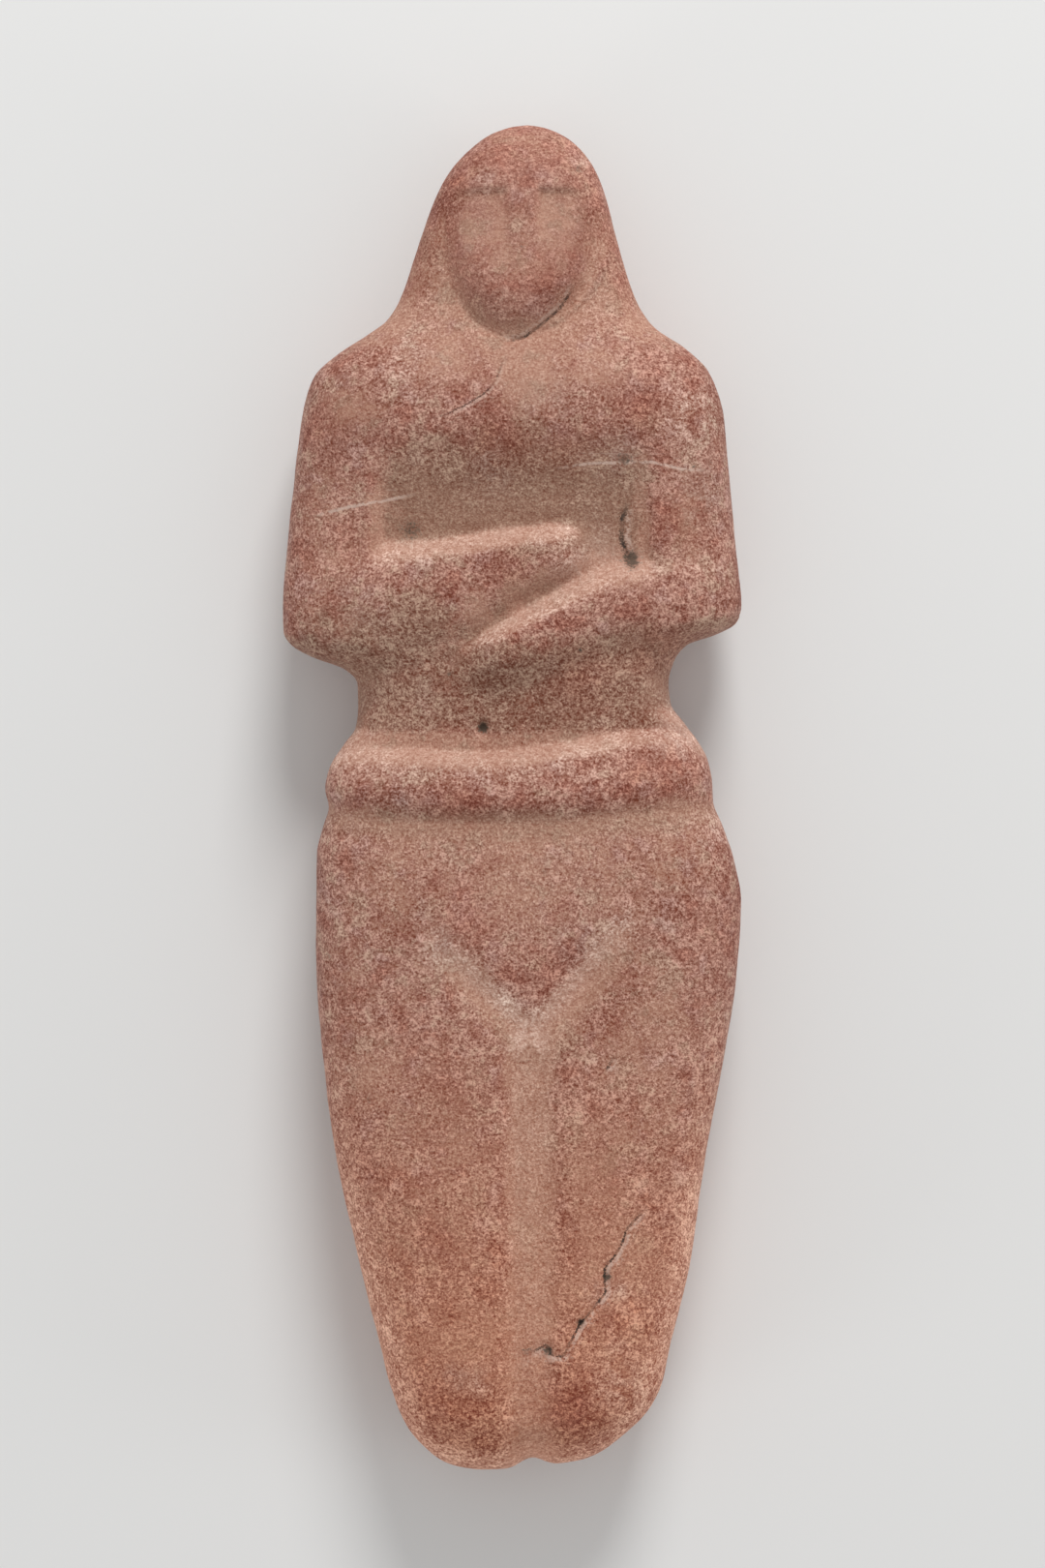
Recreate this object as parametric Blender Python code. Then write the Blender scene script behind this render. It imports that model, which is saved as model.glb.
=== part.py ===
"""Flat stone idol with crossed arms and a belt, carved from one piece of red stone.

It lies on its back: +Z is the carved front, +Y runs from the feet to the crown, and +X is the
viewer's right. The origin is under the middle of its box, on the plane that it rests on.

The idol is drawn in millimetres, up from the foot tip and sideways from its own axis, at the size
that the tables give. The driving dimensions then stretch the drawing to its real length, width and
thickness.
"""

import bmesh
import bpy
import numpy as np

# Driving dimensions, in metres.
LENGTH = 0.222
WIDTH = 0.0757
THICKNESS = 0.0302

# Outline: height above the foot tip, then the distance of the edge from the axis.
LEFT_EDGE = [
    (0.0, 0.0), (2.0, 12.6), (4.6, 16.6), (9.7, 20.7), (14.8, 22.7), (20.0, 23.9), (35.3, 27.8),
    (50.6, 31.1), (66.0, 33.3), (81.4, 34.6), (94.0, 34.7), (101.8, 34.6), (106.5, 33.5),
    (109.6, 32.7), (112.4, 33.3), (115.5, 32.7), (119.8, 30.3), (122.8, 28.3), (126.0, 27.9),
    (130.0, 28.1), (132.3, 30.2), (134.6, 36.0), (136.2, 38.8), (138.4, 40.1), (142.8, 40.3),
    (153.0, 39.4), (163.3, 38.3), (173.5, 37.0), (177.4, 36.2), (180.4, 35.0), (183.8, 31.5),
    (187.2, 26.4), (189.5, 23.3), (194.0, 20.7), (201.7, 18.0), (209.4, 15.2), (214.5, 12.4),
    (219.0, 7.9), (222.0, 0.0),
]
RIGHT_EDGE = [
    (0.0, 0.0), (2.0, 11.6), (4.6, 15.2), (9.7, 19.9), (14.8, 22.3), (20.0, 23.5), (35.3, 27.1),
    (50.6, 29.3), (66.0, 32.0), (81.4, 34.4), (94.0, 35.3), (101.8, 33.9), (106.5, 32.3),
    (110.5, 30.8), (114.0, 30.6), (117.2, 29.9), (120.5, 28.2), (123.2, 26.2), (126.5, 23.8),
    (130.0, 23.4), (133.4, 24.3), (136.4, 26.6), (138.2, 31.5), (139.8, 34.6), (141.4, 35.4),
    (153.0, 34.4), (163.3, 33.4), (173.5, 32.4), (178.0, 31.3), (181.2, 29.9), (184.6, 26.5),
    (188.9, 20.6), (194.0, 17.6), (201.7, 15.2), (209.4, 13.1), (214.5, 11.1), (219.0, 7.6),
    (222.0, 0.0),
]

# Side view, over the resting plane: the widest line, the plain front and the plain back.
# The back is drawn a little below the plane, and is then ground flat there.
WIDEST_LINE = [(0.0, 10.0), (20.0, 11.5), (60.0, 12.5), (100.0, 13.0), (140.0, 12.5), (222.0, 12.5)]
FRONT_LINE = [
    (0.0, 10.0), (1.5, 17.0), (3.5, 21.2), (6.5, 23.9), (11.0, 25.6), (20.0, 26.5), (40.0, 27.2),
    (65.0, 27.8), (85.0, 28.0), (100.0, 27.3), (106.5, 26.6), (112.0, 25.6), (117.0, 24.1),
    (120.0, 23.5), (126.0, 23.8), (132.0, 24.6), (140.0, 24.4), (150.0, 23.4), (154.0, 23.5),
    (160.0, 24.6), (166.0, 26.6), (173.0, 28.2), (178.0, 27.8), (183.0, 26.0), (188.0, 23.8),
    (192.0, 23.0), (200.0, 23.6), (207.0, 23.8), (212.0, 22.8), (216.0, 20.6), (219.5, 17.4),
    (222.0, 12.5),
]
BACK_LINE = [
    (0.0, 10.0), (2.0, 6.0), (5.0, 3.4), (10.0, 1.6), (20.0, 0.4), (35.0, -0.4), (60.0, -0.6),
    (100.0, -0.6), (116.0, -0.4), (128.0, 0.6), (142.0, -0.4), (158.0, -0.6), (174.0, -0.5),
    (184.0, 0.6), (192.0, 1.7), (204.0, 1.4), (212.0, 2.8), (219.0, 6.8), (222.0, 12.5),
]
ROUNDNESS = 3.0

# Feet: the left one reaches lower than the right one, with a small notch between them.
FOOT_SLOPE = 0.07
FOOT_SLOPE_END = 16.0
NOTCH_PLACE = 0.8
NOTCH_HALF = 2.6
NOTCH_DEPTH = 1.6
NOTCH_END = 9.0

# How far the upper arms stand above the trunk, their inner edges, and the undersides of the elbows.
ARM_RISE = [
    (124.0, 2.4), (140.0, 2.8), (152.0, 3.3), (158.0, 2.6), (166.0, 1.2), (175.0, 0.0), (222.0, 0.0),
]
ARM_INNER_LEFT = -24.6
ARM_INNER_RIGHT = 19.6
ARM_INNER_SOFT = 3.6
ELBOW_LEFT = [(-40.0, 131.3), (-24.0, 130.5)]
ELBOW_RIGHT = [(18.0, 132.7), (40.0, 136.2)]
ELBOW_SOFT = 5.5

# Forearms and belt as bands across the body: the upper foot, the crest and the lower foot of
# each, as height above the foot tip against the place across the body.
FOREARM_RISE = 3.8
FOREARM_FULLNESS = 1.2
UPPER_FOREARM = {
    "top": [(-40, 152.4), (-24.6, 153.2), (-12, 154.0), (-2, 155.6), (8, 156.2), (14, 154.4), (20, 151.0)],
    "crest": [(-40, 146.2), (-24.6, 147.0), (-12, 148.8), (-2, 150.4), (8, 151.2), (14, 150.2), (20, 148.0)],
    "foot": [(-40, 131.0), (-24.6, 131.4), (-12, 133.4), (-2, 140.4), (8, 145.6), (14, 147.0), (20, 145.6)],
}
LOWER_FOREARM = {
    "top": [(-14, 134.6), (-4, 140.2), (4, 144.8), (12, 149.0), (19, 150.8), (27, 151.2), (40, 151.2)],
    "crest": [(-14, 131.2), (-4, 135.6), (4, 139.4), (12, 143.6), (19, 145.8), (27, 146.8), (40, 146.8)],
    "foot": [(-14, 127.8), (-4, 128.2), (4, 129.6), (12, 131.8), (19, 133.6), (27, 136.4), (40, 138.6)],
}
HAND_RIGHT = 13.0
HAND_LEFT = -13.0
HAND_SOFT = 9.0
ARMS_SEAM = 1.4
BAND_FOOT = 1.5
BELT_RISE = 2.5
BELT_FULLNESS = 1.8
BELT = {
    "top": [(-36, 119.8), (-24, 119.2), (-6, 118.6), (4, 119.8), (20, 122.2), (34, 122.2)],
    "crest": [(-36, 115.2), (-24, 115.2), (-6, 114.6), (4, 115.6), (20, 117.8), (34, 118.2)],
    "foot": [(-36, 107.8), (-24, 107.2), (-6, 107.0), (4, 107.0), (20, 108.4), (34, 110.4)],
}

# Face: an egg set into the hood of hair, with sunken eye fields beside the nose under the brow.
FACE_MIDDLE = (-1.4, 204.0)
FACE_LEAN = 0.02
FACE_HALF_WIDTH = 12.4
FACE_BELOW = 18.6
FACE_ABOVE = 24.0
FACE_FLANK = 5.4
FACE_FOOT = 1.3
FACE_RISE = [(180, 4.3), (190, 4.3), (198, 2.9), (206, 1.6), (214, 0.8), (222, 0.0)]
BROW_HEIGHT = 210.4
BROW_SOFT = 1.2
NOSE_PLACE = -0.7
NOSE_HALF = 1.3
NOSE_SOFT = 2.2
EYE_FOOT = 192.5
EYE_LENGTH = 15.0
EYE_LEFT = 12.2
EYE_RIGHT = 10.6
EYE_OUTER_SOFT = 3.6
EYE_DEPTH = 0.85

# Grooves of the front: the V over the thighs, and the flat-bottomed line between the legs.
V_POINT = (0.5, 71.6)
V_LEFT = [(-19.5, 91.5), (-11.9, 83.8), (-5.4, 77.4), V_POINT]
V_RIGHT = [(21.0, 96.0), (13.4, 86.0), (7.2, 78.4), V_POINT]
V_HALF = 3.0
V_DEPTH = 1.5
V_FADE = 0.6
LEG_LINE = [(0.5, 75.0), (0.4, 50.0), (0.6, 25.0), (0.6, -6.0)]
LEG_BOTTOM = 1.8
LEG_HALF = 2.4
LEG_DEPTH = 1.5
LEG_FADE = 0.1
TIP_FADE = 5.0

# Back: a plain line between the legs.
BACK_LEG_LINE = [(0.5, 84.0), (0.5, 40.0), (0.5, -6.0)]
BACK_LEG_BOTTOM = 1.2
BACK_LEG_HALF = 2.4
BACK_LEG_DEPTH = 2.1
BACK_LEG_FADE = 0.08

# Mesh: points round the front and the back of each ring, rings from foot to crown, how much
# closer the rings lie from the waist up, and the section that the points are spread for.
FRONT_POINTS = 36
BACK_POINTS = 14
RINGS = 98
CLOSER_FROM = 98.0
CLOSER_SOFT = 12.0
CLOSER = 0.8
USUAL_HALF_WIDTH = 34.0
USUAL_HALF_DEPTH = 14.0
FINE_STEPS = 4001

STONE_COLOUR = (0.37, 0.19, 0.14, 1.0)
STONE_ROUGHNESS = 0.86


def through(table, place):
    """A smooth curve through a table's points that never overshoots them."""
    places, values = np.array(table, float).T
    step = np.diff(places)
    slope = np.diff(values) / step
    before, after = slope[:-1], slope[1:]
    turning = before * after <= 0
    safe_before = np.where(turning, 1.0, before)
    safe_after = np.where(turning, 1.0, after)
    heavy = step[:-1] + 2 * step[1:]
    light = 2 * step[:-1] + step[1:]
    mean = (heavy + light) / (heavy / safe_before + light / safe_after)
    tangent = np.zeros(len(places))
    tangent[1:-1] = np.where(turning, 0.0, mean)
    tangent[0], tangent[-1] = slope[0], slope[-1]
    place = np.clip(place, places[0], places[-1])
    i = np.clip(np.searchsorted(places, place, side="right") - 1, 0, len(step) - 1)
    t = (place - places[i]) / step[i]
    start = (1 + 2 * t) * (1 - t) ** 2 * values[i] + t * (1 - t) ** 2 * step[i] * tangent[i]
    end = t * t * (3 - 2 * t) * values[i + 1] - t * t * (1 - t) * step[i] * tangent[i + 1]
    return start + end


def reach(edge, height):
    """Distance of an edge from the axis. Its square is smooth, which rounds off both ends."""
    squares = [(place, distance * distance) for place, distance in edge]
    return np.sqrt(np.maximum(through(squares, height), 0.0))


def ease(t):
    """0 below 0, 1 above 1, and a soft step between."""
    t = np.clip(t, 0.0, 1.0)
    return t * t * (3 - 2 * t)


def joined(a, b, softness):
    """The higher of two forms, with a soft seam between them."""
    share = np.clip(0.5 + 0.5 * (a - b) / softness, 0.0, 1.0)
    return b * (1 - share) + a * share + softness * share * (1 - share)


def band(x, y, lines, fullness):
    """A worn band across the body: 1 on its crest, rounding down to 0 at its two feet."""
    top, crest, foot = (through(lines[name], x) for name in ("top", "crest", "foot"))
    width = np.where(y > crest, top - crest, crest - foot)
    away = np.clip(np.abs(y - crest) / width, 0.0, 1.0)
    return (1 - away ** (2 * fullness)) ** BAND_FOOT


def groove(x, y, line, bottom, half, fade_in):
    """A groove along a line of points: 1 on its flat bottom, and 0 a little past its soft walls."""
    nearest = np.full(np.shape(x), np.inf)
    along = np.zeros(np.shape(x))
    for i, ((ax, ay), (bx, by)) in enumerate(zip(line, line[1:])):
        dx, dy = bx - ax, by - ay
        t = np.clip(((x - ax) * dx + (y - ay) * dy) / (dx * dx + dy * dy), 0.0, 1.0)
        distance = np.hypot(x - ax - t * dx, y - ay - t * dy)
        along = np.where(distance < nearest, (i + t) / (len(line) - 1), along)
        nearest = np.minimum(nearest, distance)
    up_the_wall = np.maximum(nearest - bottom, 0.0) / half
    return np.exp(-(up_the_wall**2)) * ease(along / fade_in)


def arms(x, y):
    """How far the crossed arms stand above the trunk."""
    rise = through(ARM_RISE, y)
    left_arm = ease((ARM_INNER_LEFT + ARM_INNER_SOFT / 2 - x) / ARM_INNER_SOFT)
    right_arm = ease((x - ARM_INNER_RIGHT + ARM_INNER_SOFT / 2) / ARM_INNER_SOFT)
    left = rise * left_arm * ease((y - through(ELBOW_LEFT, x)) / ELBOW_SOFT)
    right = rise * right_arm * ease((y - through(ELBOW_RIGHT, x)) / ELBOW_SOFT)
    upper = FOREARM_RISE * band(x, y, UPPER_FOREARM, FOREARM_FULLNESS) * ease((HAND_RIGHT - x) / HAND_SOFT)
    lower = FOREARM_RISE * band(x, y, LOWER_FOREARM, FOREARM_FULLNESS) * ease((x - HAND_LEFT) / HAND_SOFT)
    return joined(np.maximum(left, right), joined(upper, lower, ARMS_SEAM), ARMS_SEAM)


def face(x, y):
    """How far the face stands out of the hood."""
    middle_x, middle_y = FACE_MIDDLE
    half_length = np.where(y < middle_y, FACE_BELOW, FACE_ABOVE)
    leaning_x = middle_x + FACE_LEAN * np.minimum(y - middle_y, 0.0)
    from_middle = np.hypot((x - leaning_x) / FACE_HALF_WIDTH, (y - middle_y) / half_length)
    up_the_flank = np.clip((1 - from_middle) * FACE_HALF_WIDTH / FACE_FLANK, 0.0, 1.0)
    egg = through(FACE_RISE, y) * (1 - (1 - up_the_flank) ** 2) ** FACE_FOOT
    beside_nose = np.abs(x - NOSE_PLACE)
    outer = np.where(x < NOSE_PLACE, EYE_LEFT, EYE_RIGHT)
    under_brow = ease((BROW_HEIGHT - y) / BROW_SOFT) * ease((y - EYE_FOOT) / EYE_LENGTH)
    across = ease((beside_nose - NOSE_HALF) / NOSE_SOFT) * ease((outer - beside_nose) / EYE_OUTER_SOFT)
    return egg - EYE_DEPTH * under_brow * across


def front_cuts(x, y):
    """Depth of the V and of the line between the legs, as one connected cut."""
    left = groove(x, y, V_LEFT, 0.0, V_HALF, V_FADE)
    right = groove(x, y, V_RIGHT, 0.0, V_HALF, V_FADE)
    legs = groove(x, y, LEG_LINE, LEG_BOTTOM, LEG_HALF, LEG_FADE)
    v_share = V_DEPTH / LEG_DEPTH
    uncut = (1 - v_share * left) * (1 - v_share * right) * (1 - legs)
    return LEG_DEPTH * (1 - uncut) * ease(y / TIP_FADE)


def front_level(x, y):
    """Height of the carved front over the resting plane, before its edges turn down."""
    belt = BELT_RISE * band(x, y, BELT, BELT_FULLNESS)
    return through(FRONT_LINE, y) + arms(x, y) + belt + face(x, y) - front_cuts(x, y)


def back_level(x, y):
    """Height of the back over the resting plane, before its edges turn up."""
    legs = groove(x, y, BACK_LEG_LINE, BACK_LEG_BOTTOM, BACK_LEG_HALF, BACK_LEG_FADE)
    return through(BACK_LINE, y) + BACK_LEG_DEPTH * legs * ease(y / TIP_FADE)


def foot_shift(x, height):
    """How far up the foot tip moves, so that one foot is the longer and a notch parts them."""
    slope = FOOT_SLOPE * x * (1 - ease(height / FOOT_SLOPE_END))
    notch = NOTCH_DEPTH * np.exp(-(((x - NOTCH_PLACE) / NOTCH_HALF) ** 2))
    return slope + notch * (1 - ease(height / NOTCH_END))


def section_shape(angles):
    """A rounded box's section: the share of its reach sideways, and of its rise."""
    across = np.sign(np.cos(angles)) * np.abs(np.cos(angles)) ** (2 / ROUNDNESS)
    up = np.abs(np.sin(angles)) ** (2 / ROUNDNESS)
    return across, up


def ring_angles():
    """Angles round a section, spaced evenly along its outline: first the front, then the back."""
    turn = np.linspace(0.0, np.pi, FINE_STEPS)
    across, up = section_shape(turn)
    pieces = np.hypot(np.diff(across) * USUAL_HALF_WIDTH, np.diff(up) * USUAL_HALF_DEPTH)
    travel = np.concatenate([[0.0], np.cumsum(pieces)])
    front = np.interp(np.linspace(0.0, travel[-1], FRONT_POINTS + 1)[:-1], travel, turn)
    back = np.interp(np.linspace(0.0, travel[-1], BACK_POINTS + 1)[:-1], travel, turn) + np.pi
    return np.concatenate([front, back])


def ring_heights():
    """Heights of the rings: evenly spaced along the surface, and closer from the waist up."""
    crown = LEFT_EDGE[-1][0]
    fine = (1 - np.cos(np.linspace(0.0, np.pi, FINE_STEPS))) / 2 * crown
    lines = [fine, reach(LEFT_EDGE, fine), reach(RIGHT_EDGE, fine), through(FRONT_LINE, fine)]
    pieces = np.sqrt(sum(np.diff(line) ** 2 for line in lines))
    closer = 1 + CLOSER * ease((fine[1:] - CLOSER_FROM) / CLOSER_SOFT)
    travel = np.concatenate([[0.0], np.cumsum(pieces * closer)])
    return np.interp(np.linspace(0.0, travel[-1], RINGS + 2), travel, fine)[1:-1]


def ring(height, angles):
    """One section's points, in the drawing's millimetres."""
    across, up = section_shape(angles)
    x = across * np.where(across < 0, reach(LEFT_EDGE, height), reach(RIGHT_EDGE, height))
    y = np.full_like(x, height)
    widest = through(WIDEST_LINE, height)
    level = np.where(np.sin(angles) >= 0, front_level(x, y), back_level(x, y))
    return np.column_stack([x, y + foot_shift(x, height), widest + (level - widest) * up])


def drawn_points():
    """All rings' points and the two end points, in the drawing's millimetres."""
    angles = ring_angles()
    rings = [ring(height, angles) for height in ring_heights()]
    crown = LEFT_EDGE[-1][0]
    foot_point = (0.0, foot_shift(0.0, 0.0), WIDEST_LINE[0][1])
    crown_point = (0.0, crown, WIDEST_LINE[-1][1])
    return np.vstack([*rings, [foot_point, crown_point]]), len(angles)


def to_real_size(points):
    """The drawing stretched to the driving dimensions and set over the origin."""
    low, high = points.min(axis=0), points.max(axis=0)
    middle = [(low[0] + high[0]) / 2, (low[1] + high[1]) / 2, 0.0]
    drawn = np.array([high[0] - low[0], high[1] - low[1], high[2]])
    return (points - middle) * (np.array([WIDTH, LENGTH, THICKNESS]) / drawn)


def skin(points, around):
    """A closed mesh over rings of points, with a fan at the foot tip and at the crown.

    Each patch between two rings folds along whichever diagonal lies more level, so that the folds
    run along the carving and not across it.
    """
    mesh = bmesh.new()
    verts = [mesh.verts.new(point) for point in points]
    foot_tip, crown_tip = verts[-2], verts[-1]
    rings = (len(points) - 2) // around
    for r in range(rings - 1):
        for i in range(around):
            j = (i + 1) % around
            a, b = verts[r * around + i], verts[r * around + j]
            c, d = verts[(r + 1) * around + j], verts[(r + 1) * around + i]
            if abs(a.co.z - c.co.z) < abs(b.co.z - d.co.z):
                mesh.faces.new((a, d, c))
                mesh.faces.new((a, c, b))
            else:
                mesh.faces.new((a, d, b))
                mesh.faces.new((b, d, c))
    last = (rings - 1) * around
    for i in range(around):
        j = (i + 1) % around
        mesh.faces.new((foot_tip, verts[i], verts[j]))
        mesh.faces.new((crown_tip, verts[last + j], verts[last + i]))
    bmesh.ops.recalc_face_normals(mesh, faces=mesh.faces)
    return mesh


def stone_material():
    material = bpy.data.materials.new("red_stone")
    material.use_nodes = True
    shader = material.node_tree.nodes["Principled BSDF"]
    shader.inputs["Base Color"].default_value = STONE_COLOUR
    shader.inputs["Roughness"].default_value = STONE_ROUGHNESS
    shader.inputs["Metallic"].default_value = 0.0
    material.diffuse_color = STONE_COLOUR
    return material


def resting_plane():
    """A cutter that fills everything under the resting plane."""
    cutter_mesh = bmesh.new()
    bmesh.ops.create_cube(cutter_mesh, size=1.0)
    data = bpy.data.meshes.new("resting_plane")
    cutter_mesh.to_mesh(data)
    cutter_mesh.free()
    cutter = bpy.data.objects.new("resting_plane", data)
    cutter.scale = (2 * WIDTH, 2 * LENGTH, THICKNESS)
    cutter.location = (0.0, 0.0, -THICKNESS / 2)
    cutter.hide_render = True
    cutter.display_type = "WIRE"
    bpy.context.scene.collection.objects.link(cutter)
    return cutter


def make_idol():
    points, around = drawn_points()
    mesh = skin(to_real_size(points), around)
    data = bpy.data.meshes.new("idol")
    mesh.to_mesh(data)
    mesh.free()
    data.shade_smooth()
    data.materials.append(stone_material())
    idol = bpy.data.objects.new("idol", data)
    bpy.context.scene.collection.objects.link(idol)
    ground_flat = idol.modifiers.new("ground_flat", "BOOLEAN")
    ground_flat.operation = "DIFFERENCE"
    ground_flat.solver = "EXACT"
    ground_flat.object = resting_plane()
    return idol


for old in list(bpy.data.objects):
    bpy.data.objects.remove(old, do_unlink=True)
make_idol()
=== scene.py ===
"""The stone idol's looks: its worn carving, its damage and its red speckled stone.

Lengths in the idol's drawing are millimetres, up from the foot tip and sideways from its own axis.
The finished mesh is fitted to the CAD part's box, in metres.
"""

import bpy
import numpy as np
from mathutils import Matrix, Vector, noise


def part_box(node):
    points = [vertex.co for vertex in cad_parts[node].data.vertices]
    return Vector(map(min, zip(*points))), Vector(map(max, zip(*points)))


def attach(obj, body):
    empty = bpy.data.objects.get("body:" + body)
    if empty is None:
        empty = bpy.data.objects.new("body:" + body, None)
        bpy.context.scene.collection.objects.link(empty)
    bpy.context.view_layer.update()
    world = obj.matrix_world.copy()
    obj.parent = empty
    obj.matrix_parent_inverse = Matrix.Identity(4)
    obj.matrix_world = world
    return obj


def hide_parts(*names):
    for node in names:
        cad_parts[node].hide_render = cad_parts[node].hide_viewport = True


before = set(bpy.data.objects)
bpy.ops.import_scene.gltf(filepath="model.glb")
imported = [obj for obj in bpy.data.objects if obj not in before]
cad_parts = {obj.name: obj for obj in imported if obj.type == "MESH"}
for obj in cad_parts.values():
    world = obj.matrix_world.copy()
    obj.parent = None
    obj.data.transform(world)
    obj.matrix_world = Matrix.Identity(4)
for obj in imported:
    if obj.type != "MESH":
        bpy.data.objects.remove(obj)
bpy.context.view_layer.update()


# The idol's body: one river-worn slab of red sandstone, pecked with a hammerstone to its outline
# and ground smooth with grit. The outline and the side view are the ones that the CAD part has.

LEFT_EDGE = [
    (0.0, 0.0), (2.0, 12.6), (4.6, 16.6), (9.7, 20.7), (14.8, 22.7), (20.0, 23.9), (35.3, 27.8),
    (50.6, 31.1), (66.0, 33.3), (81.4, 34.6), (94.0, 34.7), (101.8, 34.6), (106.5, 33.5),
    (109.6, 32.7), (112.4, 33.3), (115.5, 32.7), (119.8, 30.3), (122.8, 28.3), (126.0, 27.9),
    (130.0, 28.1), (132.3, 30.2), (134.6, 36.0), (136.2, 38.8), (138.4, 40.1), (142.8, 40.3),
    (153.0, 39.4), (163.3, 38.3), (173.5, 37.0), (177.4, 36.2), (180.4, 35.0), (183.8, 31.5),
    (187.2, 26.4), (189.5, 23.3), (194.0, 20.7), (201.7, 18.0), (209.4, 15.2), (214.5, 12.4),
    (219.0, 7.9), (222.0, 0.0),
]
RIGHT_EDGE = [
    (0.0, 0.0), (2.0, 11.6), (4.6, 15.2), (9.7, 19.9), (14.8, 22.3), (20.0, 23.5), (35.3, 27.1),
    (50.6, 29.3), (66.0, 32.0), (81.4, 34.4), (94.0, 35.3), (101.8, 33.9), (106.5, 32.3),
    (110.5, 30.8), (114.0, 30.6), (117.2, 29.9), (120.5, 28.2), (123.2, 26.2), (126.5, 23.8),
    (130.0, 23.4), (133.4, 24.3), (136.4, 26.6), (138.2, 31.5), (139.8, 34.6), (141.4, 35.4),
    (153.0, 34.4), (163.3, 33.4), (173.5, 32.4), (178.0, 31.3), (181.2, 29.9), (184.6, 26.5),
    (188.9, 20.6), (194.0, 17.6), (201.7, 15.2), (209.4, 13.1), (214.5, 11.1), (219.0, 7.6),
    (222.0, 0.0),
]
WIDEST_LINE = [(0.0, 10.0), (20.0, 11.5), (60.0, 12.5), (100.0, 13.0), (140.0, 12.5), (222.0, 12.5)]
FRONT_LINE = [
    (0.0, 10.0), (1.5, 17.0), (3.5, 21.2), (6.5, 23.9), (11.0, 25.6), (20.0, 26.5), (40.0, 27.2),
    (65.0, 27.8), (85.0, 28.0), (100.0, 27.3), (106.5, 26.6), (112.0, 25.6), (117.0, 24.1),
    (120.0, 23.5), (126.0, 23.8), (132.0, 24.6), (140.0, 24.4), (150.0, 23.4), (154.0, 23.5),
    (160.0, 24.6), (166.0, 26.6), (173.0, 28.2), (178.0, 27.8), (183.0, 26.0), (188.0, 23.8),
    (192.0, 23.0), (200.0, 23.6), (207.0, 23.8), (212.0, 22.8), (216.0, 20.6), (219.5, 17.4),
    (222.0, 12.5),
]
BACK_LINE = [
    (0.0, 10.0), (2.0, 6.0), (5.0, 3.4), (10.0, 1.6), (20.0, 0.4), (35.0, -0.4), (60.0, -0.6),
    (100.0, -0.6), (116.0, -0.4), (128.0, 0.6), (142.0, -0.4), (158.0, -0.6), (174.0, -0.5),
    (184.0, 0.6), (192.0, 1.7), (204.0, 1.4), (212.0, 2.8), (219.0, 6.8), (222.0, 12.5),
]
ROUNDNESS = 3.0


def through(table, place):
    """A smooth curve through a table's points that never overshoots them."""
    places, values = np.array(table, float).T
    step = np.diff(places)
    slope = np.diff(values) / step
    before, after = slope[:-1], slope[1:]
    turning = before * after <= 0
    safe_before = np.where(turning, 1.0, before)
    safe_after = np.where(turning, 1.0, after)
    heavy = step[:-1] + 2 * step[1:]
    light = 2 * step[:-1] + step[1:]
    mean = (heavy + light) / (heavy / safe_before + light / safe_after)
    tangent = np.zeros(len(places))
    tangent[1:-1] = np.where(turning, 0.0, mean)
    tangent[0], tangent[-1] = slope[0], slope[-1]
    place = np.clip(place, places[0], places[-1])
    i = np.clip(np.searchsorted(places, place, side="right") - 1, 0, len(step) - 1)
    t = (place - places[i]) / step[i]
    start = (1 + 2 * t) * (1 - t) ** 2 * values[i] + t * (1 - t) ** 2 * step[i] * tangent[i]
    end = t * t * (3 - 2 * t) * values[i + 1] - t * t * (1 - t) * step[i] * tangent[i + 1]
    return start + end


def reach(edge, height):
    """Distance of an edge from the axis. Its square is smooth, which rounds off both ends."""
    squares = [(place, distance * distance) for place, distance in edge]
    return np.sqrt(np.maximum(through(squares, height), 0.0))


def ease(t):
    """0 below 0, 1 above 1, and a soft step between."""
    t = np.clip(t, 0.0, 1.0)
    return t * t * (3 - 2 * t)


# The crossed forearms and the rolled belt stand proud of the body. Each is a band whose upper
# foot, crest and lower foot run across it; the stone was pecked away round them.

ARM_RISE = [
    (124.0, 2.4), (140.0, 2.8), (152.0, 3.3), (158.0, 2.6), (166.0, 1.2), (175.0, 0.0), (222.0, 0.0),
]
ARM_INNER_LEFT = -24.6
ARM_INNER_RIGHT = 19.6
ARM_INNER_SOFT = 3.6
ELBOW_LEFT = [(-40.0, 131.3), (-24.0, 130.5)]
ELBOW_RIGHT = [(18.0, 132.7), (40.0, 136.2)]
ELBOW_SOFT = 5.5
FOREARM_RISE = 3.8
FOREARM_FULLNESS = 1.2
UPPER_FOREARM = {
    "top": [(-40, 152.4), (-24.6, 153.2), (-12, 154.0), (-2, 155.6), (8, 156.2), (14, 154.4), (20, 151.0)],
    "crest": [(-40, 146.2), (-24.6, 147.0), (-12, 148.8), (-2, 150.4), (8, 151.2), (14, 150.2), (20, 148.0)],
    "foot": [(-40, 131.0), (-24.6, 131.4), (-12, 133.4), (-2, 140.4), (8, 145.6), (14, 147.0), (20, 145.6)],
}
LOWER_FOREARM = {
    "top": [(-14, 134.6), (-4, 140.2), (4, 144.8), (12, 149.0), (19, 150.8), (27, 151.2), (40, 151.2)],
    "crest": [(-14, 131.2), (-4, 135.6), (4, 139.4), (12, 143.6), (19, 145.8), (27, 146.8), (40, 146.8)],
    "foot": [(-14, 127.8), (-4, 128.2), (4, 129.6), (12, 131.8), (19, 133.6), (27, 136.4), (40, 138.6)],
}
HAND_RIGHT = 13.0
HAND_LEFT = -13.0
HAND_SOFT = 9.0
ARMS_SEAM = 1.4
BAND_FOOT = 1.5
BELT_RISE = 2.5
BELT_FULLNESS = 1.8
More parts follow.
